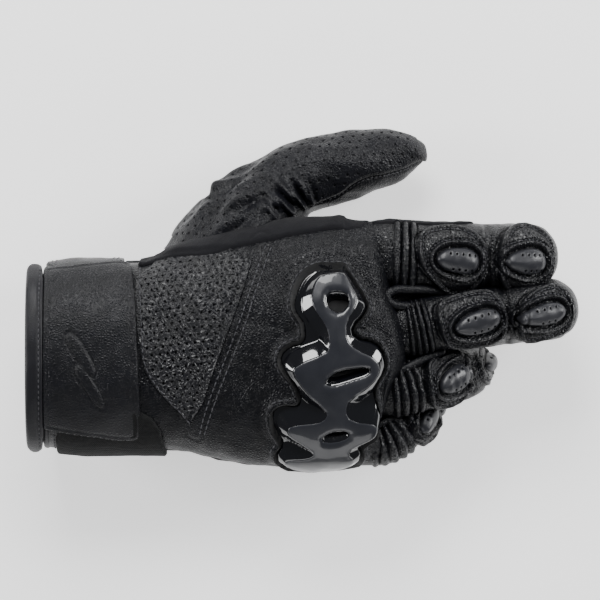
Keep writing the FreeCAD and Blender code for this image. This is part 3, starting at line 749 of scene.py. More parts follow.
def build_hand():
    """The leather of the hand: back and palm, joined along the two sides of the hand."""
    nose = HAND_FRONT - FRONT_ROUND
    rounding = nose + FRONT_ROUND * np.sin(np.linspace(0, 1.5, 14))
    along = np.concatenate([np.arange(HAND_START, nose, 0.8), rounding])
    finish(hand.skin("hand_back_leather", along, -SEAM_SHARE, SEAM_SHARE, 0.8), "hand_leather", blend=WRIST,
           replaces=("hand_back_panel", "wrist_gusset"))
    for side, low, high in (("left", SEAM_SHARE, 1.0), ("right", -1.0, -SEAM_SHARE)):
        half = hand.skin(f"hand_palm_leather_{side}", along, low, high, 1.1)
        finish(half, "palm_suede", blend=WRIST, replaces=("hand_palm_panel",))
    for sign, side in ((1, "thumb"), (-1, "little")):
        edge = np.arange(HAND_START, HAND_FRONT - FRONT_ROUND, 1.0)
        v = SEAM_SHARE * hand.girth(edge, sign)
        line = hand.surface(edge, v, 0.25)
        finish(sweep(f"side_piping_{side}", line, radius=0.75, sides=8), "edge_binding", blend=WRIST)


INSERT_HOLES = (3.5, 0.54)  # pitch and radius of the holes
THUMB_HOLES = (4.1, 0.5)


def hole_field(low, high, pitch, radius):
    """Staggered round holes over a region, as (centres, radius)."""
    rows = np.arange(low[1], high[1], pitch * 0.87)
    return np.array([
        (low[0] + pitch * (k + 0.5 * (r % 2)), y)
        for r, y in enumerate(rows)
        for k in range(int((high[0] - low[0]) / pitch) + 1)
    ]), radius


def with_holes(distance, holes, margin):
    """The same signed distance with holes cut where they are well inside it."""
    centres, radius = holes
    centres = centres[distance(centres) < -margin]

    def cut(points):
        nearest = np.full(len(points), np.inf)
        for cx, cy in centres:
            nearest = np.minimum(nearest, (points[:, 0] - cx) ** 2 + (points[:, 1] - cy) ** 2)
        return np.maximum(distance(points), radius - np.sqrt(nearest))

    return cut


def build_insert():
    """The pebbled, perforated leather insert on the back of the hand, with its seams."""
    low, high = INSERT.min(0), INSERT.max(0)
    holes = hole_field(low, high, *INSERT_HOLES)
    shape = with_holes(lambda points: distance_to(points, INSERT), holes, 2.0)
    finish(
        plate("perforated_insert", hand.surface, shape, low, high, step=0.32, lift=rounded_lift(0.85, 0.3),
              base=-0.3),
        "perforated_leather", blend=WRIST, replaces=("perforated_back_insert",),
    )
    front = spline(INSERT_FRONT, 0.8)
    rear = spline(hand.flat([(43.5, 38.0), (45.0, 10.0), (45.5, -2.0), (53.5, -18.0), (61.5, -29.0)]), 0.8)
    rows = [(hand.surface, offset_line(front, 2.4), 0.0), (hand.surface, offset_line(front, 5.0), 0.0)]
    rows.append((hand.surface, rear, 0.8))
    finish(stitches("insert_stitches", rows), "thread", blend=WRIST)


def build_guard():
    """The gloss knuckle guard: a low base, facets up to a crowned spine, slots through it, its dark bed."""
    low, high = guard_base.min(0), guard_base.max(0)

    def slot_distance(points):
        return np.min([distance_to(points, outline) for outline in guard_slots], axis=0)

    def shape(points):
        return np.maximum(distance_to(points, guard_base), -slot_distance(points))

    def lift(points, depth):
        spine = distance_to(points, guard_spine)
        rise = np.clip(1 - spine / 5.0, 0, 1)
        crown = 0.9 * (1 - np.exp(-np.maximum(-spine, 0) / 5.0))
        lip = -0.7 * bell(slot_distance(points) - 0.2, 1.3)
        lying = 0.45 + 0.55 * smooth(points[:, 1], low[1] + 2, low[1] + 17)
        edge = EDGE * round_over(depth, EDGE)
        return 1.0 + (4.4 * rise + crown + lip) * lying + edge

    shell = plate("knuckle_guard_shell", hand.surface, shape, low, high, step=0.4, lift=lift, base=-0.2,
                  sharp=50)
    finish(shell, "gloss_guard", "hand", replaces=("knuckle_guard",))

    def spine_shape(points):
        return np.maximum(distance_to(points, guard_spine) + 0.15, 0.5 - slot_distance(points))

    def spine_lift(points, depth):
        return lift(points, np.full(len(points), INSIDE)) + 0.25 * round_over(depth, 0.4)

    spine = plate("knuckle_guard_spine", hand.surface, spine_shape, low, high, step=0.4, lift=spine_lift,
                  base=3.0, sharp=35)
    finish(spine, "guard_spine", "hand")
    bed = plate("knuckle_guard_bed", hand.surface, lambda points: surround_distance(points) - 1.0,
                low - 4, high + 4, step=1.0, lift=level_lift(0.45), base=-0.5)
    finish(bed, "foam_base", "hand", replaces=("knuckle_foam",))


def contour(distance, low, high, level, step=0.8):
    """The closed line where a signed distance equals a level, in order."""
    flat, faces, rim = fill(lambda points: distance(points) - level, low, high, step)
    after = dict(rim)
    loops = []
    while after:
        start, here = next(iter(after.items()))
        loop = [start]
        del after[start]
        while here != start and here in after:
            loop.append(here)
            here = after.pop(here)
        loops.append(flat[loop])
    return max(loops, key=len)


def build_guard_stitches():
    """The row of stitches in the leather round the guard."""
    low, high = guard_base.min(0) - 6, guard_base.max(0) + 6
    line = contour(surround_distance, low, high, 2.2)
    finish(stitches("guard_stitches", [(hand.surface, line, 0.0)]), "thread", "hand")


build_hand()
build_insert()
build_guard()
build_guard_stitches()


# ---------------------------------------------------------------- cuff and strap

CUFF_END = 41.0
cuff_x = np.arange(-8.0, 57.0, 1.0)
cuff = Tube(
    cuff_x,
    np.stack([cuff_x, 0 * cuff_x, curve((-8, 0.0), (20, 0.2), (45, 1.5))(cuff_x)], 1),
    (0, 1, 0),
    curve((-8, 37.5), (0, 38.2), (10, 39.6), (45, 39.8))(cuff_x),
    curve((-8, 28.6), (0, 28.8), (45, 27.6))(cuff_x),
    curve((-8, 29.8), (0, 29.9), (45, 28.6))(cuff_x),
    power=2.3,
)
cuff_waves = [waves(21, 30.0), waves(23, 11.0)]
cuff.detail = lambda s, v: 0.35 * cuff_waves[0](s, v) * smooth(s, 2, 14) + 0.12 * cuff_waves[1](s, v)
STRAP_LIFT = 3.4  # height of the strap's face over the cuff's leather
STRAP_EDGE = [
    (0.2, 33.0), (0.2, 35.2), (3.0, 35.6), (15.0, 36.6), (34.0, 38.4), (37.6, 38.2), (38.6, 36.4),
    (40.6, 20.0), (41.4, 3.0), (42.0, -18.0), (42.4, -30.0), (41.4, -33.2), (38.0, -33.6), (20.0, -31.0),
    (3.0, -28.7), (0.2, -28.4), (0.2, -26.0),
]
BAND_EDGE = [
    (-7.3, 33.0), (-7.0, 35.8), (-5.0, 36.6), (0.45, 36.6), (0.45, 0.0), (0.45, -36.8), (-4.6, -37.2),
    (-7.0, -36.2), (-7.3, -33.0), (-7.3, 0.0),
]
EMBLEM = [  # a plain emboss: two slanted bars
    [(9.0, 8.0), (14.0, 10.0), (26.0, -6.0), (21.0, -8.0)],
    [(13.0, -4.0), (18.0, -2.0), (30.0, -18.0), (25.0, -20.0)],
]
# The stretch of the anchor tab that bends when the strap opens.
STRAP_ROOT = ("cuff", "strap", (17.0, 43.0, -8.0), (17.0, 38.0, 12.0))


def build_cuff():
    """The cuff's leather, its hem and the lining seen through its opening."""
    along = np.arange(0.6, CUFF_END + 0.5, 0.9)
    finish(cuff.skin("cuff_leather", along, step=1.0), "black_leather", "cuff",
           replaces=("cuff_back_panel", "cuff_palm_panel"))
    inside = np.arange(0.8, 96.0, 1.5)
    lining_tube = Tube(
        inside,
        np.stack([inside, 0 * inside + 1.0, np.interp(inside, [0, 96], [0.2, 7.0])], 1),
        (0, 1, 0),
        np.interp(inside, [0, 40, 96], [36.2, 37.4, 42.0]),
        np.interp(inside, [0, 40, 96], [26.4, 23.6, 20.0]),
        np.interp(inside, [0, 40, 96], [27.8, 26.0, 19.0]),
    )
    folds = waves(31, 18.0)
    lining_tube.detail = lambda s, v: 0.6 * folds(s, v) * smooth(s, 4, 30)
    lining = lining_tube.skin("wrist_lining", inside[:28], step=1.4)
    lining.data.flip_normals()
    finish(lining, "lining", "cuff", replaces=("cuff_lining",))
    deep = lining_tube.skin("hand_lining_bag", inside[24:], step=1.4, tip=True)
    deep.data.flip_normals()
    finish(deep, "lining", "hand", replaces=("hand_lining",))
    ring = np.linspace(-1, 1, 181)[:-1]
    v = np.where(ring >= 0, ring * cuff.girth(1.2 + 0 * ring, 1), -ring * cuff.girth(1.2 + 0 * ring, -1))
    hem = cuff.surface(1.2 + 0 * v, v, -0.9)
    finish(sweep("cuff_hem", hem, radius=1.5, closed=True, up=(1, 0, 0)), "edge_binding", "cuff",
           replaces=("cuff_edge_binding",))
    rows = [(cuff.surface, np.stack([4.6 + 0 * v, v], 1), 0.05)]
    finish(stitches("cuff_hem_stitches", rows), "thread", "cuff")


def build_strap():
    """The closure strap with its emboss, the bound roll along its rear edge and its hook tape."""
    outline = rounded(cuff.flat(STRAP_EDGE), 1)
    emblem = [rounded(cuff.flat(points), 2) for points in EMBLEM]

    def lift(points, depth):
        seat = rounded_lift(STRAP_LIFT, 0.8)(points, depth)
        seat -= 1.0 * smooth(points[:, 0], 30, 42) + 0.3 * bell(depth - 2.2, 0.5)
        mark = np.min([distance_to(points, shape) for shape in emblem], axis=0)
        press = 0.55 * smooth(-mark, -0.3, 0.9) - 0.35 * bell(mark - 0.5, 0.55)
        return seat + press

    strap = outline_plate("closure_strap", cuff.surface, outline, step=0.5, lift=lift, base=1.2)
    finish(strap, "black_leather", "strap", replaces=("wrist_strap",))

    band = rounded(cuff.flat(BAND_EDGE), 1)

    def band_lift(points, depth):
        swell = 0.3 * bell(points[:, 0] + 4.4, 2.2) - 0.5 * bell(points[:, 0] + 1.5, 0.5)
        return rounded_lift(3.6, 1.3)(points, depth) + swell

    roll = outline_plate("strap_bound_edge", cuff.surface, band, step=0.5, lift=band_lift, base=-0.4)
    finish(roll, "edge_binding", "strap", replaces=("strap_edge_binding",))
    row = cuff.flat([(-1.5, y) for y in np.linspace(35, -36, 60)])
    finish(stitches("strap_edge_stitches", [(cuff.surface, row, 3.3)], STRAP_STITCH), "thread", "strap")

    hook = rounded(cuff.flat([(4, -12), (36, -12), (36, -30), (4, -28)]), 1)
    under = outline_plate("strap_hook_tape", cuff.surface, hook, step=1.0, lift=level_lift(1.3), base=0.7)
    finish(under, "hook_tape", "strap", replaces=("hook_fastener",))


def build_cuff_tabs():
    """The loop panel under the strap on the little-finger side, and the strap's anchor tab."""
    def panel(name, corners, height):
        outline = rounded(corners, 2)
        face = rounded_lift(height, 0.9)
        return outline_plate(name, cuff.surface, outline, step=0.7, lift=face, base=-0.2)

    near = cuff.flat([(20.0, -20.0)])[0, 1]
    low = 0.66 * cuff.girth(np.array([20.0]), -1)[0]
    loop = [(5.2, near), (48.0, near), (53.0, low + 22), (51.0, low), (10.0, low), (5.6, low + 5)]
    finish(panel("loop_panel", loop, 2.4), "loop_tape", "cuff", replaces=("loop_fastener",))
    round_to_palm = cuff.girth(np.array([20.0]), 1)[0]
    start = cuff.flat([(20.0, 33.0)])[0, 1]
    end = 0.62 * round_to_palm
    tab = panel("anchor_tab", [(0.8, start), (34.0, start), (34.0, end), (0.8, end)], 2.6)
    finish(tab, "black_leather", blend=STRAP_ROOT, replaces=("strap_anchor_tab",))
    rows = [
        (cuff.surface, [(x, start + 5), (x, 0.56 * round_to_palm)], 2.6)
        for x in (3.4, 5.2, 29.8, 31.6)
    ]
    finish(stitches("anchor_tab_stitches", rows), "thread", blend=STRAP_ROOT)


build_cuff()
build_strap()
build_cuff_tabs()


# ---------------------------------------------------------------- digits


BEND = 7.0  # half the length over which skin bends at a joint


def joint_places(name):
    """A digit's root and middle joints, in millimetres."""
    return [np.array(JOINTS[f"{name}_{joint}"]["pos_m"]) / MM for joint in ("root", "middle")]


def digit_tube(name, start_direction, tip, root_reach, half_width, up, down, drift, power, tip_round=12.0):
    """The tube of a finger or thumb, through its two joints; s is 0 at its root joint.

    drift moves its centre line past its root, so that its skin fills the width its joints don't show.
    """
    root, middle = joint_places(name)
    sides = [np.array(JOINTS[f"{name}_{joint}"]["axis"], float) for joint in ("root", "middle")]
    first = np.linalg.norm(middle - root)
    directions = [np.array(start_direction, float), (middle - root) / first, np.array(tip, float) - middle]
    length = first + np.linalg.norm(directions[2])
    directions[0] /= np.linalg.norm(directions[0])
    directions[2] /= np.linalg.norm(directions[2])
    step, bend = 0.5, 8.0
    s = np.arange(-root_reach, length + 0.01, step)
    one, two = smooth(s, -bend, bend)[:, None], smooth(s, first - bend, first + bend)[:, None]
    along = directions[0] * (1 - one) + directions[1] * (one - two) + directions[2] * two
    along /= np.linalg.norm(along, axis=1, keepdims=True)
    centre = np.cumsum(along * step, axis=0)
    centre += root - np.array([np.interp(0, s, centre[:, k]) for k in range(3)])
    side = sides[0] * (1 - two) + sides[1] * two
    centre += np.array(drift) * smooth(s, -8.0, 12.0)[:, None]
    end = np.sqrt(1 - np.clip((s - (length - tip_round)) / (tip_round + 0.02), 0, 1) ** 2)
    sizes = [size(s) * end + 0.05 for size in (half_width, up, down)]
    tube = Tube(s, centre, side, *sizes, power)
    tube.first, tube.length, tube.tip_round = first, length, tip_round
    return tube


def teardrop(centre, length, width, turn=0.0, point=0.30, count=36):
    """A rounded outline, narrower at its rear end by the share point."""
    a = np.linspace(0, 2 * math.pi, count, endpoint=False)
    u = length / 2 * np.sign(np.cos(a)) * np.abs(np.cos(a)) ** 0.9
    v = width / 2 * np.sin(a) * (1 - point * (1 - np.cos(a)) / 2)
    c, n = math.cos(math.radians(turn)), math.sin(math.radians(turn))
    return np.stack([centre[0] + u * c - v * n, centre[1] + u * n + v * c], 1)


# Per finger:
#   tip: where the fingertip is, as (X, Y, Z);
#   reach: how far the skin goes into the hand, past the root joint;
#   drift: how far the skin's centre line is moved from the line of the joints, as (X, Y, Z);
#   power: how square the section is;
#   side: how far round from the middle of the back the raised frames go;
#   relief: how high the frame stands, as a share of full height, on each of the two segments;
#   width, up and down: half width, height over and depth under the centre line, along s;
#   ribs: the accordion, as (start s, end s, half width, number of ribs);
#   pads: the two guards, as (centre s, centre v, length, width, turn in degrees);
#   frames: the outlines (s, v) of the raised leather round the guards.
FINGERS = {
    "index": dict(
        tip=(218.4, 43.2, -7.0), reach=17.0, drift=(0.0, -0.4, 0.0), power=2.3, side=21.0, relief=(1.0, 1.0),
        width=curve((-17, 13.8), (-6, 15.0), (0, 15.2), (14, 14.4), (28, 14.4), (38, 14.0), (50, 14.4),
                    (70, 13.2)),
        up=curve((-17, 7.0), (-7, 9.6), (-2, 11.2), (25, 12.0), (37, 11.2), (50, 12.0)),
        down=curve((-17, 10.5), (70, 11.5)), ribs=(-3.4, 6.0, 16.0, 3),
        pads=((22.6, -1.4, 18.8, 10.8, -4.0), (49.4, -1.7, 17.2, 10.8, 0.0)),
        frames=(
            [(5.3, 6.0), (6.2, 9.4), (11.9, 12.6), (24.9, 13.4), (33.8, 7.9), (36.0, -0.7), (35.4, -6.0),
             (31.0, -14.2), (26.1, -17.4), (18.9, -16.0), (10.2, -8.0), (6.2, -1.8)],
            [(39.2, 2.9), (40.6, 8.8), (45.4, 14.0), (53.5, 14.0), (61.0, 9.0), (65.0, 1.2), (64.5, -4.6),
             (61.8, -10.6), (52.2, -15.8), (45.0, -15.8), (40.2, -11.2), (39.2, -4.0)],
        ),
    ),
    "middle": dict(
        tip=(227.2, 20.0, -5.2), reach=17.0, drift=(0.0, 1.9, 0.0), power=2.3, side=21.0, relief=(1.0, 1.0),
        width=curve((-17, 11.8), (0, 12.2), (14, 12.2), (30, 12.6), (39, 12.4), (52, 12.9), (72, 12.6)),
        up=curve((-17, 8.0), (-7, 10.0), (-2, 11.4), (25, 12.0), (38, 11.2), (52, 12.0)),
        down=curve((-17, 10.5), (70, 11.5)), ribs=(-3.6, 5.0, 13.0, 4),
        pads=((24.4, -1.8, 20.6, 9.8, 8.0), (50.4, -1.6, 19.6, 9.0, 5.0)),
        frames=(
            [(7.4, 6.0), (12.4, 10.4), (28.9, 12.0), (34.9, 8.8), (38.2, -2.2), (36.6, -8.2), (29.1, -12.4),
             (14.9, -13.0), (8.5, -8.8)],
            [(41.4, 1.0), (44.0, 6.4), (50.6, 9.8), (60.8, 10.6), (66.5, -0.8), (64.2, -7.6), (58.1, -11.6),
             (44.0, -13.6), (41.2, -10.4), (41.0, -3.4)],
        ),
    ),
    "ring": dict(
        tip=(182.4, -3.4, -28.0), reach=16.0, drift=(-0.4, 1.6, 0.0), power=2.25, side=16.0,
        relief=(1.0, 0.35),
        width=curve((-16, 11.0), (0, 11.6), (20, 12.0), (31, 11.2), (44, 11.0), (58, 10.6)),
        up=curve((-16, 10.5), (0, 11.2), (18, 11.4), (28, 10.2), (44, 9.8), (58, 9.6)),
        down=curve((-16, 10.0), (58, 10.0)), ribs=(-5.0, 5.0, 13.5, 4),
        pads=((18.4, -1.2, 17.0, 10.4, 16.0), (38.5, 0.0, 12.0, 8.8, 0.0)),
        frames=(
            [(5.4, -9.0), (5.8, 4.0), (9.6, 8.6), (18.4, 12.6), (24.0, 12.0), (27.4, 6.0), (27.6, -3.0),
             (24.0, -10.6), (16.8, -13.6), (8.0, -12.0)],
            [(30.0, 5.0), (33.0, 9.0), (42.0, 9.0), (46.0, 4.0), (46.0, -4.0), (42.0, -9.0), (33.0, -9.0),
             (30.0, -5.0)],
        ),
    ),
    "little": dict(
        tip=(155.6, -29.0, -29.6), reach=14.0, drift=(-1.0, 6.0, 0.0), power=2.25, side=14.0,
        relief=(0.9, 0.25),
        width=curve((-14, 9.2), (0, 9.8), (14, 9.6), (25, 9.0), (45, 8.6)),
        up=curve((-14, 8.8), (0, 9.6), (12, 9.4), (21, 7.6), (45, 7.2)), down=curve((-14, 8.6), (45, 8.8)),
        ribs=(-9.0, 3.0, 11.5, 5),
        pads=((12.0, -0.4, 15.0, 8.4, 24.0), (29.0, 0.0, 9.0, 7.4, 0.0)),
        frames=(
            [(3.4, -7.6), (3.8, 4.0), (7.0, 8.6), (15.0, 10.6), (19.4, 7.0), (20.4, -2.0), (17.6, -8.6),
             (11.8, -11.0), (5.2, -10.6)],
            [(23.4, 4.4), (25.8, 7.4), (31.6, 7.4), (34.6, 3.6), (34.6, -3.6), (31.6, -7.4), (25.8, -7.4),
             (23.4, -4.4)],
        ),
    ),
}


def finger_detail(spec, seed, first, finger_length):
    """Relief of a finger: accordion ribs at its root, a raised frame round each guard, creases at the joint.

    Also the outlines of its guards and frames. first is the length of its first segment.
    """
    start, end, reach, ribs = spec["ribs"]
    side = spec["side"]
    pads = [teardrop((s, v), length, width, turn) for s, v, length, width, turn in spec["pads"]]
    frames = [rounded(outline, 1) for outline in spec["frames"]]
    crease, cloth = waves(seed, 12.0), waves(seed + 50, 6.0)

    def detail(s, v):
        flat = np.stack([s, v], 1)
        phase = (s - start) / (end - start)
        inside = smooth(phase, -0.03, 0.03) * (1 - smooth(phase, 0.97, 1.03))
        across = 1 - smooth(np.abs(v), reach - 1.0, reach + 2.5)
        relief = (2.6 * np.abs(np.sin(np.pi * ribs * np.clip(phase, 0, 1))) ** 0.55 - 1.2) * inside * across
        raised = np.zeros_like(relief)
        for pad, outline, height in zip(pads, frames, spec["relief"]):
            ring = distance_to(flat, pad)
            rim = distance_to(flat, outline)
            edge = 2.5 * smooth(-rim, -0.3, 0.6) - 1.0 * bell(rim - 0.8, 0.6)
            piping = 0.6 * bell(rim + 1.1, 0.7) - 0.8 * bell(rim + 2.2, 0.45)
            collar = 1.6 * bell(ring - 1.9, 0.8) - 1.2 * bell(ring - 0.5, 0.6) - 1.0 * bell(ring - 3.3, 0.5)
            raised += height * (edge + piping + collar)
        relief += raised * (1 - smooth(np.abs(v), side - 3.5, side))
        relief -= 1.4 * bell(s - first + 3.6, 1.3) * (1 - smooth(np.abs(v), 14, 22))
        fade = 1 - 0.85 * smooth(s, finger_length - 9, finger_length - 3)
        return (relief + 0.28 * crease(s, v) + 0.14 * cloth(s, v)) * fade

    return detail, pads, frames


SKIN_STEP = 0.32  # between the rings of points of a finger's skin


def build_finger(name, spec, seed):
    """A finger's two stretches of skin, its two guards and the stitches of their frames."""
    tube = digit_tube(name, (1, 0, 0), spec["tip"], spec["reach"], spec["width"], spec["up"], spec["down"],
                      spec["drift"], spec["power"])
    tube.detail, pads, frames = finger_detail(spec, seed, tube.first, tube.length)
    bends = joint_bends(name, tube)
    split = tube.first * 0.5
    lower = np.arange(-spec["reach"], split + 0.01, SKIN_STEP)
    finish(tube.skin(f"{name}_root_leather", lower, step=0.42), "finger_leather", blend=bends[0],
           replaces=(f"{name}_proximal_back", f"{name}_proximal_palm", f"{name}_accordion_gusset"))
    dome = tube.length - tube.tip_round
    upper = np.concatenate([
        np.arange(split, dome, SKIN_STEP),
        dome + tube.tip_round * np.sin(np.linspace(0, math.pi / 2 - 0.06, 24)),
    ])
    finish(tube.skin(f"{name}_tip_leather", upper, step=0.42, tip=True), "finger_leather", blend=bends[1],
           replaces=(f"{name}_distal_back", f"{name}_distal_palm", f"{name}_joint_gusset"))
    segments = zip(pads, frames, spec["pads"], (f"{name}_1", f"{name}_2"), ("knuckle_pad", "tip_pad"))
    for pad, outline, pad_size, body, node in segments:
        build_pad(f"{name}_{node}_cover", tube, pad, pad_size, body, f"{name}_{node}")
        rows = [
            (tube.surface, offset_line(looped(pad), -3.4), 0.4),
            (tube.surface, offset_line(looped(outline), -2.2), 0.4),
        ]
        finish(stitches(f"{name}_{node}_stitches", rows, FRAME_STITCH), "thread", body)
    return tube


def looped(outline):
    """The outline with its first point again at its end."""
    return np.vstack([outline, outline[:1]])


def joint_bends(name, tube):
    """The stretches over which the skin bends at a digit's root joint and at its middle joint."""
    root, middle = joint_places(name)
    along = (middle - root) / np.linalg.norm(middle - root)
    tip = tube.centre[-1] - middle
    forward = tip / np.linalg.norm(tip)
    return (
        ("hand", f"{name}_1", root - along * BEND, root + along * BEND),
        (f"{name}_1", f"{name}_2", middle - forward * BEND, middle + forward * BEND),
    )


PAD_RISE = 2.6
PAD_SHOULDER = 0.42  # how far in its edge rounds over, as a share of a guard's width
PAD_ROWS = ((-1, -0.26), (1, 0.2))  # two rows of holes: which way each is shifted, and its place across
PAD_HOLES = 5  # in a row
PAD_HOLE_RADIUS = 0.42


def build_pad(name, tube, outline, size, body, node):
    """A domed finger guard with two rows of round holes."""
    centre_s, centre_v, length, width, turn = size
    c, n = math.cos(math.radians(turn)), math.sin(math.radians(turn))
    spots = [
        (length * (-0.22 + 0.145 * k + 0.03 * shift), width * across)
        for shift, across in PAD_ROWS
        for k in range(PAD_HOLES)
    ]
    centres = np.array([(centre_s + u * c - v * n, centre_v + u * n + v * c) for u, v in spots])
    holes = centres, PAD_HOLE_RADIUS
    shape = with_holes(lambda points: distance_to(points, outline), holes, 0.9)

    def lift(flat, depth):
        rim = np.maximum(-distance_to(flat, outline), 0)
        crown = np.sin(np.clip(rim / (width * PAD_SHOULDER), 0, 1) * math.pi / 2) ** 0.7
        return 0.2 + PAD_RISE * crown + 0.25 * round_over(depth, 0.25)

    made = plate(name, tube.surface, shape, outline.min(0), outline.max(0), step=0.3, lift=lift, base=-0.4,
                 sharp=55)
    finish(made, "perforated_guard", body, replaces=(node,))


tubes = {}
for index, (finger, spec) in enumerate(FINGERS.items()):
    tubes[finger] = build_finger(finger, spec, 100 + 7 * index)


# ---------------------------------------------------------------- thumb


def build_thumb():
    """The thumb: root mound on the hand, and two segments, in perforated leather on its back."""
    reach = 58.0
    width = curve((-58, 14.0), (-50, 18.4), (-38, 19.2), (-30, 19.6), (-23, 20.4), (-18, 20.0), (-10, 18.2),
                  (0, 15.4), (14, 14.6), (28, 13.8), (36, 12.4), (47, 9.8), (55, 7.6), (62, 6.4))
    up = curve((-58, 12.0), (-44, 15.5), (-28, 17.0), (-10, 16.0), (0, 14.8), (14, 14.4), (28, 13.4),
               (36, 12.4),
               (47, 10.6), (62, 8.6))
    tube = digit_tube("thumb", (0.757, 0.652, -0.02), (163.8, 86.2, -12.0), reach, width, up, up, power=2.15,
                      tip_round=17.0, drift=(0.0, 1.9, 0.0))
    folds, cloth = waves(77, 16.0), waves(78, 7.0)
    seam_v = curve((-60, -30.0), (0, -26.0), (20, -23.5), (27, -19.5), (50, -14.0), (60, -8.0))

    def detail(s, v):
        """Creases by the index finger, mounds and a knob of bunched leather at the root, the seam's step."""
        lower = smooth(-v, 2, 16) * (1 - smooth(-v, 22, 30))
        near = bell(s + 3, 9) * lower
        creases = near * (1.5 * np.sin(s * 1.0 + 0.16 * v) + 0.6 * np.sin(s * 1.9 - 0.1 * v))
        root = bell(s + 23, 16)
        mounds = root * (1.6 * np.sin(0.42 * (v - 0.35 * s) + 1.0) + 0.6 * np.sin(0.9 * v + 0.2 * s))
        knob = 1.6 * bell(s + 23, 3.5) * smooth(v, -4, 10) - 1.2 * bell(s + 28, 2.2) * smooth(v, -6, 8)
        past = v - seam_v(s)
        seam = 1.0 * smooth(past, -0.8, 0.6) - 0.7 * bell(past + 1.2, 0.7)
        return creases + mounds + knob + seam + 0.5 * folds(s, v) + 0.2 * cloth(s, v)

    def side_distance(points):
        """Signed distance to the band of perforated leather, between the seam and the far side."""
        s, v = points[:, 0], points[:, 1]
        narrowing = 24.0 - 0.9 * np.maximum(s - 30, 0) ** 0.85
        return np.maximum(seam_v(s) + 1.0 - v, v - narrowing)

    tube.detail = detail
    bends = joint_bends("thumb", tube)
    split = tube.first / 2
    dome = tube.length - tube.tip_round
    rounding = dome + tube.tip_round * np.sin(np.linspace(0, 1.5, 30))
    tip_s = np.concatenate([np.arange(split, dome, 0.5), rounding])
    stretches = [
        ("thumb_root_leather", np.arange(-reach, split + 0.01, 0.5), bends[0], False,
         ("thumb_root_back", "thumb_root_palm", "thumb_accordion_gusset", "thumb_proximal_palm",
          "thumb_proximal_back")),
        ("thumb_tip_leather", tip_s, bends[1], True,
         ("thumb_distal_back", "thumb_distal_palm", "thumb_joint_gusset")),
    ]
    for name, along_s, bend, tip, replaced in stretches:
        finish(tube.skin(name, along_s, step=0.6, tip=tip), "black_leather", blend=bend, replaces=replaced)
    for name, low_s, high_s, bend in (
        ("thumb_root_perforated", -52.0, split, bends[0]),
        ("thumb_tip_perforated", split, tube.length - 3.5, bends[1]),
    ):
        def shape(points, low_s=low_s, high_s=high_s):
            return np.maximum.reduce([low_s - points[:, 0], points[:, 0] - high_s, side_distance(points)])

        low, high = np.array([low_s, -31.0]), np.array([high_s, 25.0])
        holes = hole_field(low + [2.2, 1.0], high - 1.0, *THUMB_HOLES)
        perforated = with_holes(side_distance, holes, 1.6)

        def lift(points, depth):
            return rounded_lift(0.5, 0.25)(points, np.maximum(-perforated(points), 0))

        made = plate(name, tube.surface, with_holes(shape, holes, 1.6), low, high, step=0.36, lift=lift,
                     base=-0.3)
        finish(made, "thumb_leather", blend=bend)
    seam_s = np.arange(4.0, tube.length - 4.0, 0.5)
    for name, part, bend in (
        ("thumb_root_seam", seam_s[seam_s <= split], bends[0]),
        ("thumb_tip_seam", seam_s[seam_s > split], bends[1]),
    ):
        row = np.stack([part, seam_v(part) - 1.6], 1)
        finish(stitches(name, [(tube.surface, row, 0.1)], THUMB_STITCH), "thread", blend=bend)
    return tube


tubes["thumb"] = build_thumb()


# ---------------------------------------------------------------- between the fingers, side strip and palm


def build_webs():
    """The leather that closes the crotch between two fingers, and the rolls sewn over it."""
    # Per crotch: outline as (X, Y) points, height over the frame's zero and fall towards the fingertips.
    floors = {
        "index_middle": (
            [(142, 19), (142, 33), (160, 32.5), (172, 31), (173, 25), (160, 20)], 12.5, -0.22),
        "middle_ring": (
            [(142, -12), (142, 9), (158, 9), (172, 9), (176, 3), (172, -3), (158, -9)], 11.0, -0.30),
        "ring_little": (
            [(134, -38), (134, -20), (150, -17.5), (163, -16), (163, -22.5), (150, -31)], 9.5, -0.42),
    }
    for name, (outline, height, fall) in floors.items():
        def surface(x, y, lift, height=height, fall=fall):
            return np.stack([x, y, height + fall * (x - 148.0) + lift + 0 * x], 1)

        floor = outline_plate(f"web_{name}", surface, rounded(outline, 2), step=0.8,
                              lift=rounded_lift(1.0, 1.0), base=-14.0)
        finish(floor, "black_leather", "hand")
    rolls = {
        "index_middle": [(178.0, 27.6, 13.5), (168.0, 28.4, 17.0), (156.0, 28.9, 20.2), (149.4, 28.6, 21.6),
                         (146.6, 27.0, 22.4), (146.2, 25.0, 22.6), (148.2, 22.9, 22.2), (153.0, 21.9, 21.0),
                         (163.0, 22.6, 18.6), (175.0, 24.4, 15.5)],
        "middle_ring": [(171.0, 3.2, 15.0), (162.0, -0.6, 18.0), (154.0, -4.6, 20.0), (148.8, -6.6, 20.6)],
        "middle_ring_low": [(168.0, 0.2, 13.5), (160.0, -3.4, 16.5), (153.0, -7.0, 18.6),
                            (147.8, -8.8, 19.6)],
        "ring_little": [(160.0, -20.0, 9.5), (152.0, -24.0, 13.5), (145.0, -27.6, 16.0),
                        (139.5, -30.4, 17.0)],
    }
    made = [
        finish(sweep(f"web_roll_{name}", spline(points, 0.7), radius=1.9), "black_leather", "hand")
        for name, points in rolls.items()
    ]
    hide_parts("finger_webs")


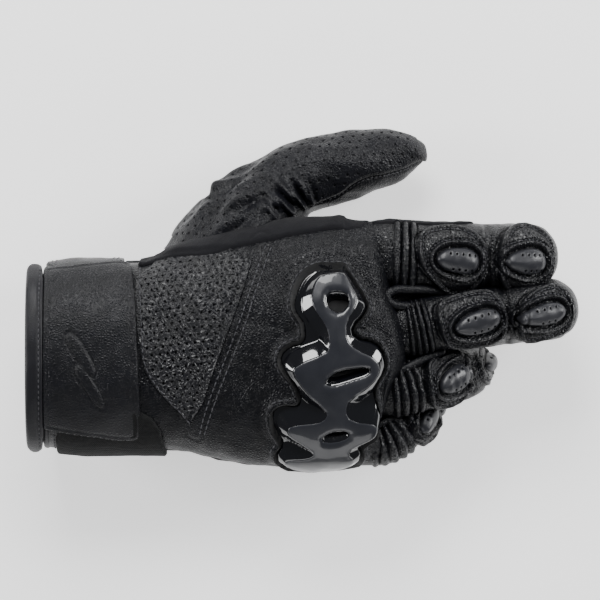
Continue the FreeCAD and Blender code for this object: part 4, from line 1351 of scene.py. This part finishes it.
def build_side_strip():
    """The matte strip along the thumb side of the hand and of the index finger's root."""
    lower = hand.flat([(42.0, 39.0), (73.0, 43.0), (106.0, 49.2), (128.0, 53.0), (142.0, 54.4)])
    ends = np.array([151.0, 106.0, 73.0, 42.0])
    outline = np.vstack([lower, np.stack([ends, 0.6 * hand.girth(ends, 1)], 1)])
    index = tubes["index"]
    side = rounded([(-14.0, 14.6), (6.0, 15.6), (20.0, 16.2), (31.0, 18.0), (32.0, 20.0), (20.0, 22.5),
                    (-14.0, 27.0)], 1)
    on_index = outline_plate("side_strip_index", index.surface, side, step=0.6, lift=rounded_lift(0.7, 0.6),
                             base=-0.4)
    finish(on_index, "side_strip", blend=joint_bends("index", index)[0])

    def strip_lift(points, depth):
        return rounded_lift(1.5, 0.7)(points, depth) - 1.2 * smooth(points[:, 0], 128, 150)

    made = outline_plate("side_strip", hand.surface, outline, step=0.8, lift=strip_lift, base=-0.3)
    finish(made, "side_strip", blend=WRIST, replaces=("index_side_strip",))


def build_slider():
    """The hard slider under the heel of the hand: a rounded block with bevelled edges, its face downward."""
    low, high = (np.array(corner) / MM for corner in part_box("palm_slider"))
    centre, half = (low + high)[:2] / 2, (high - low)[:2] / 2
    corner, count, height = 7.0, 12, 6.9
    rings = []
    for inset, rise in ((0.0, 0.0), (0.0, 3.4), (0.35, 5.6), (1.4, 6.6), (3.0, height)):
        radius = max(corner - inset, 1.0)
        for quarter, way in enumerate(((1, 1), (-1, 1), (-1, -1), (1, -1))):
            middle = centre + np.array(way) * (half - inset - radius)
            for turn in np.radians(90 * quarter + np.linspace(0, 90, count)):
                x, y = middle + radius * np.array([math.cos(turn), math.sin(turn)])
                rings.append((x, y, low[2] + height - rise))
    faces = grid_faces(5, 4 * count, True)
    faces.append(tuple(len(rings) - 1 - np.arange(4 * count)))
    shell = make_object("palm_slider_shell", rings, faces, sharp=35)
    finish(shell, "slider_plastic", "hand", replaces=("palm_slider",))


def build_palm():
    """The palm patch and the palm's seams."""
    far = hand.girth(np.array([90.0]), 1)[0]
    shares = [(70, 0.98), (112, 0.98), (122, 0.86), (118, 0.72), (80, 0.74), (68, 0.84)]
    outline = rounded([(x, share * far) for x, share in shares], 2)
    patch = outline_plate("palm_patch_leather", hand.surface, outline, step=0.8, lift=rounded_lift(1.1, 0.5),
                          base=-0.2)
    finish(patch, "palm_suede", "hand", replaces=("palm_patch",))
    rows = [(hand.surface, offset_line(looped(outline), -1.8), 1.1)]
    seam_s = np.linspace(62.0, 140.0, 40)
    for share, sign in ((0.62, 1), (0.66, 1), (0.70, -1)):
        rows.append((hand.surface, np.stack([seam_s, share * hand.girth(seam_s, sign)], 1), 0.1))
    across = hand.girth(np.array([132.0]), 1)[0] * np.linspace(0.7, 1.0, 20)
    rows.append((hand.surface, np.stack([132.0 + 4.0 * np.sin(0.12 * across), across], 1), 0.1))
    finish(stitches("palm_patch_stitches", rows), "thread", "hand")


build_webs()
build_side_strip()
build_slider()
build_palm()


# ---------------------------------------------------------------- stage


MIDDLE = (0.11, 0.02)  # the middle of the glove from above, in metres
FLOOR_SIZE = 6.0
FLOOR_GLOW = 0.9  # the floor is a softly lit table
SKY_GLOW = 0.11
# Per light: place and size in metres, power in watts.
LIGHTS = {
    "key": ((0.0, 0.72, 0.66), (0.5, 0.4), 9.0),
    "right": ((0.95, 0.35, 0.45), (0.4, 0.5), 9.0),
    "low": ((0.15, -0.85, 0.45), (1.0, 0.4), 3.0),
    "left": ((-0.90, 0.15, 0.40), (0.4, 0.5), 8.0),
}
CAMERA = (0.1092, 0.0244, 2.6)
VIEW_WIDTH = 0.2568  # of what the camera sees on the plane z = 0
SENSOR_WIDTH = 36.0


def build_stage():
    """The pale floor that the glove lies on, and an even sky."""
    bpy.ops.mesh.primitive_plane_add(size=FLOOR_SIZE, location=(*MIDDLE, cad_box[0][2]))
    floor = bpy.context.object
    floor.name = "floor"
    nodes = Nodes("pale_floor")
    nodes.set(Base_Color=(0.9, 0.9, 0.9, 1.0), Roughness=0.9, Emission_Color=(1.0, 1.0, 1.0, 1.0),
              Emission_Strength=FLOOR_GLOW)
    floor.data.materials.append(nodes.material)

    world = bpy.data.worlds.new("studio")
    bpy.context.scene.world = world
    world.use_nodes = True
    sky = world.node_tree.nodes["Background"]
    sky.inputs["Color"].default_value = (0.93, 0.96, 1.0, 1.0)
    sky.inputs["Strength"].default_value = SKY_GLOW


def build_lights():
    """Large soft lights round the glove, all turned to its middle."""
    for name, (place, size, power) in LIGHTS.items():
        data = bpy.data.lights.new(name, "AREA")
        data.shape = "RECTANGLE"
        data.size, data.size_y = size
        data.energy = power
        light = bpy.data.objects.new(name, data)
        light.location = place
        aim = Vector((*MIDDLE, 0.0)) - Vector(place)
        light.rotation_euler = aim.to_track_quat("-Z", "Y").to_euler()
        bpy.context.collection.objects.link(light)


def build_camera():
    """Straight above the glove, with a long lens."""
    data = bpy.data.cameras.new("camera")
    data.sensor_width = SENSOR_WIDTH
    data.lens = SENSOR_WIDTH * CAMERA[2] / VIEW_WIDTH
    data.clip_end = 20.0
    camera = bpy.data.objects.new("camera", data)
    camera.location = CAMERA
    bpy.context.collection.objects.link(camera)
    bpy.context.scene.camera = camera


build_stage()
build_lights()
build_camera()
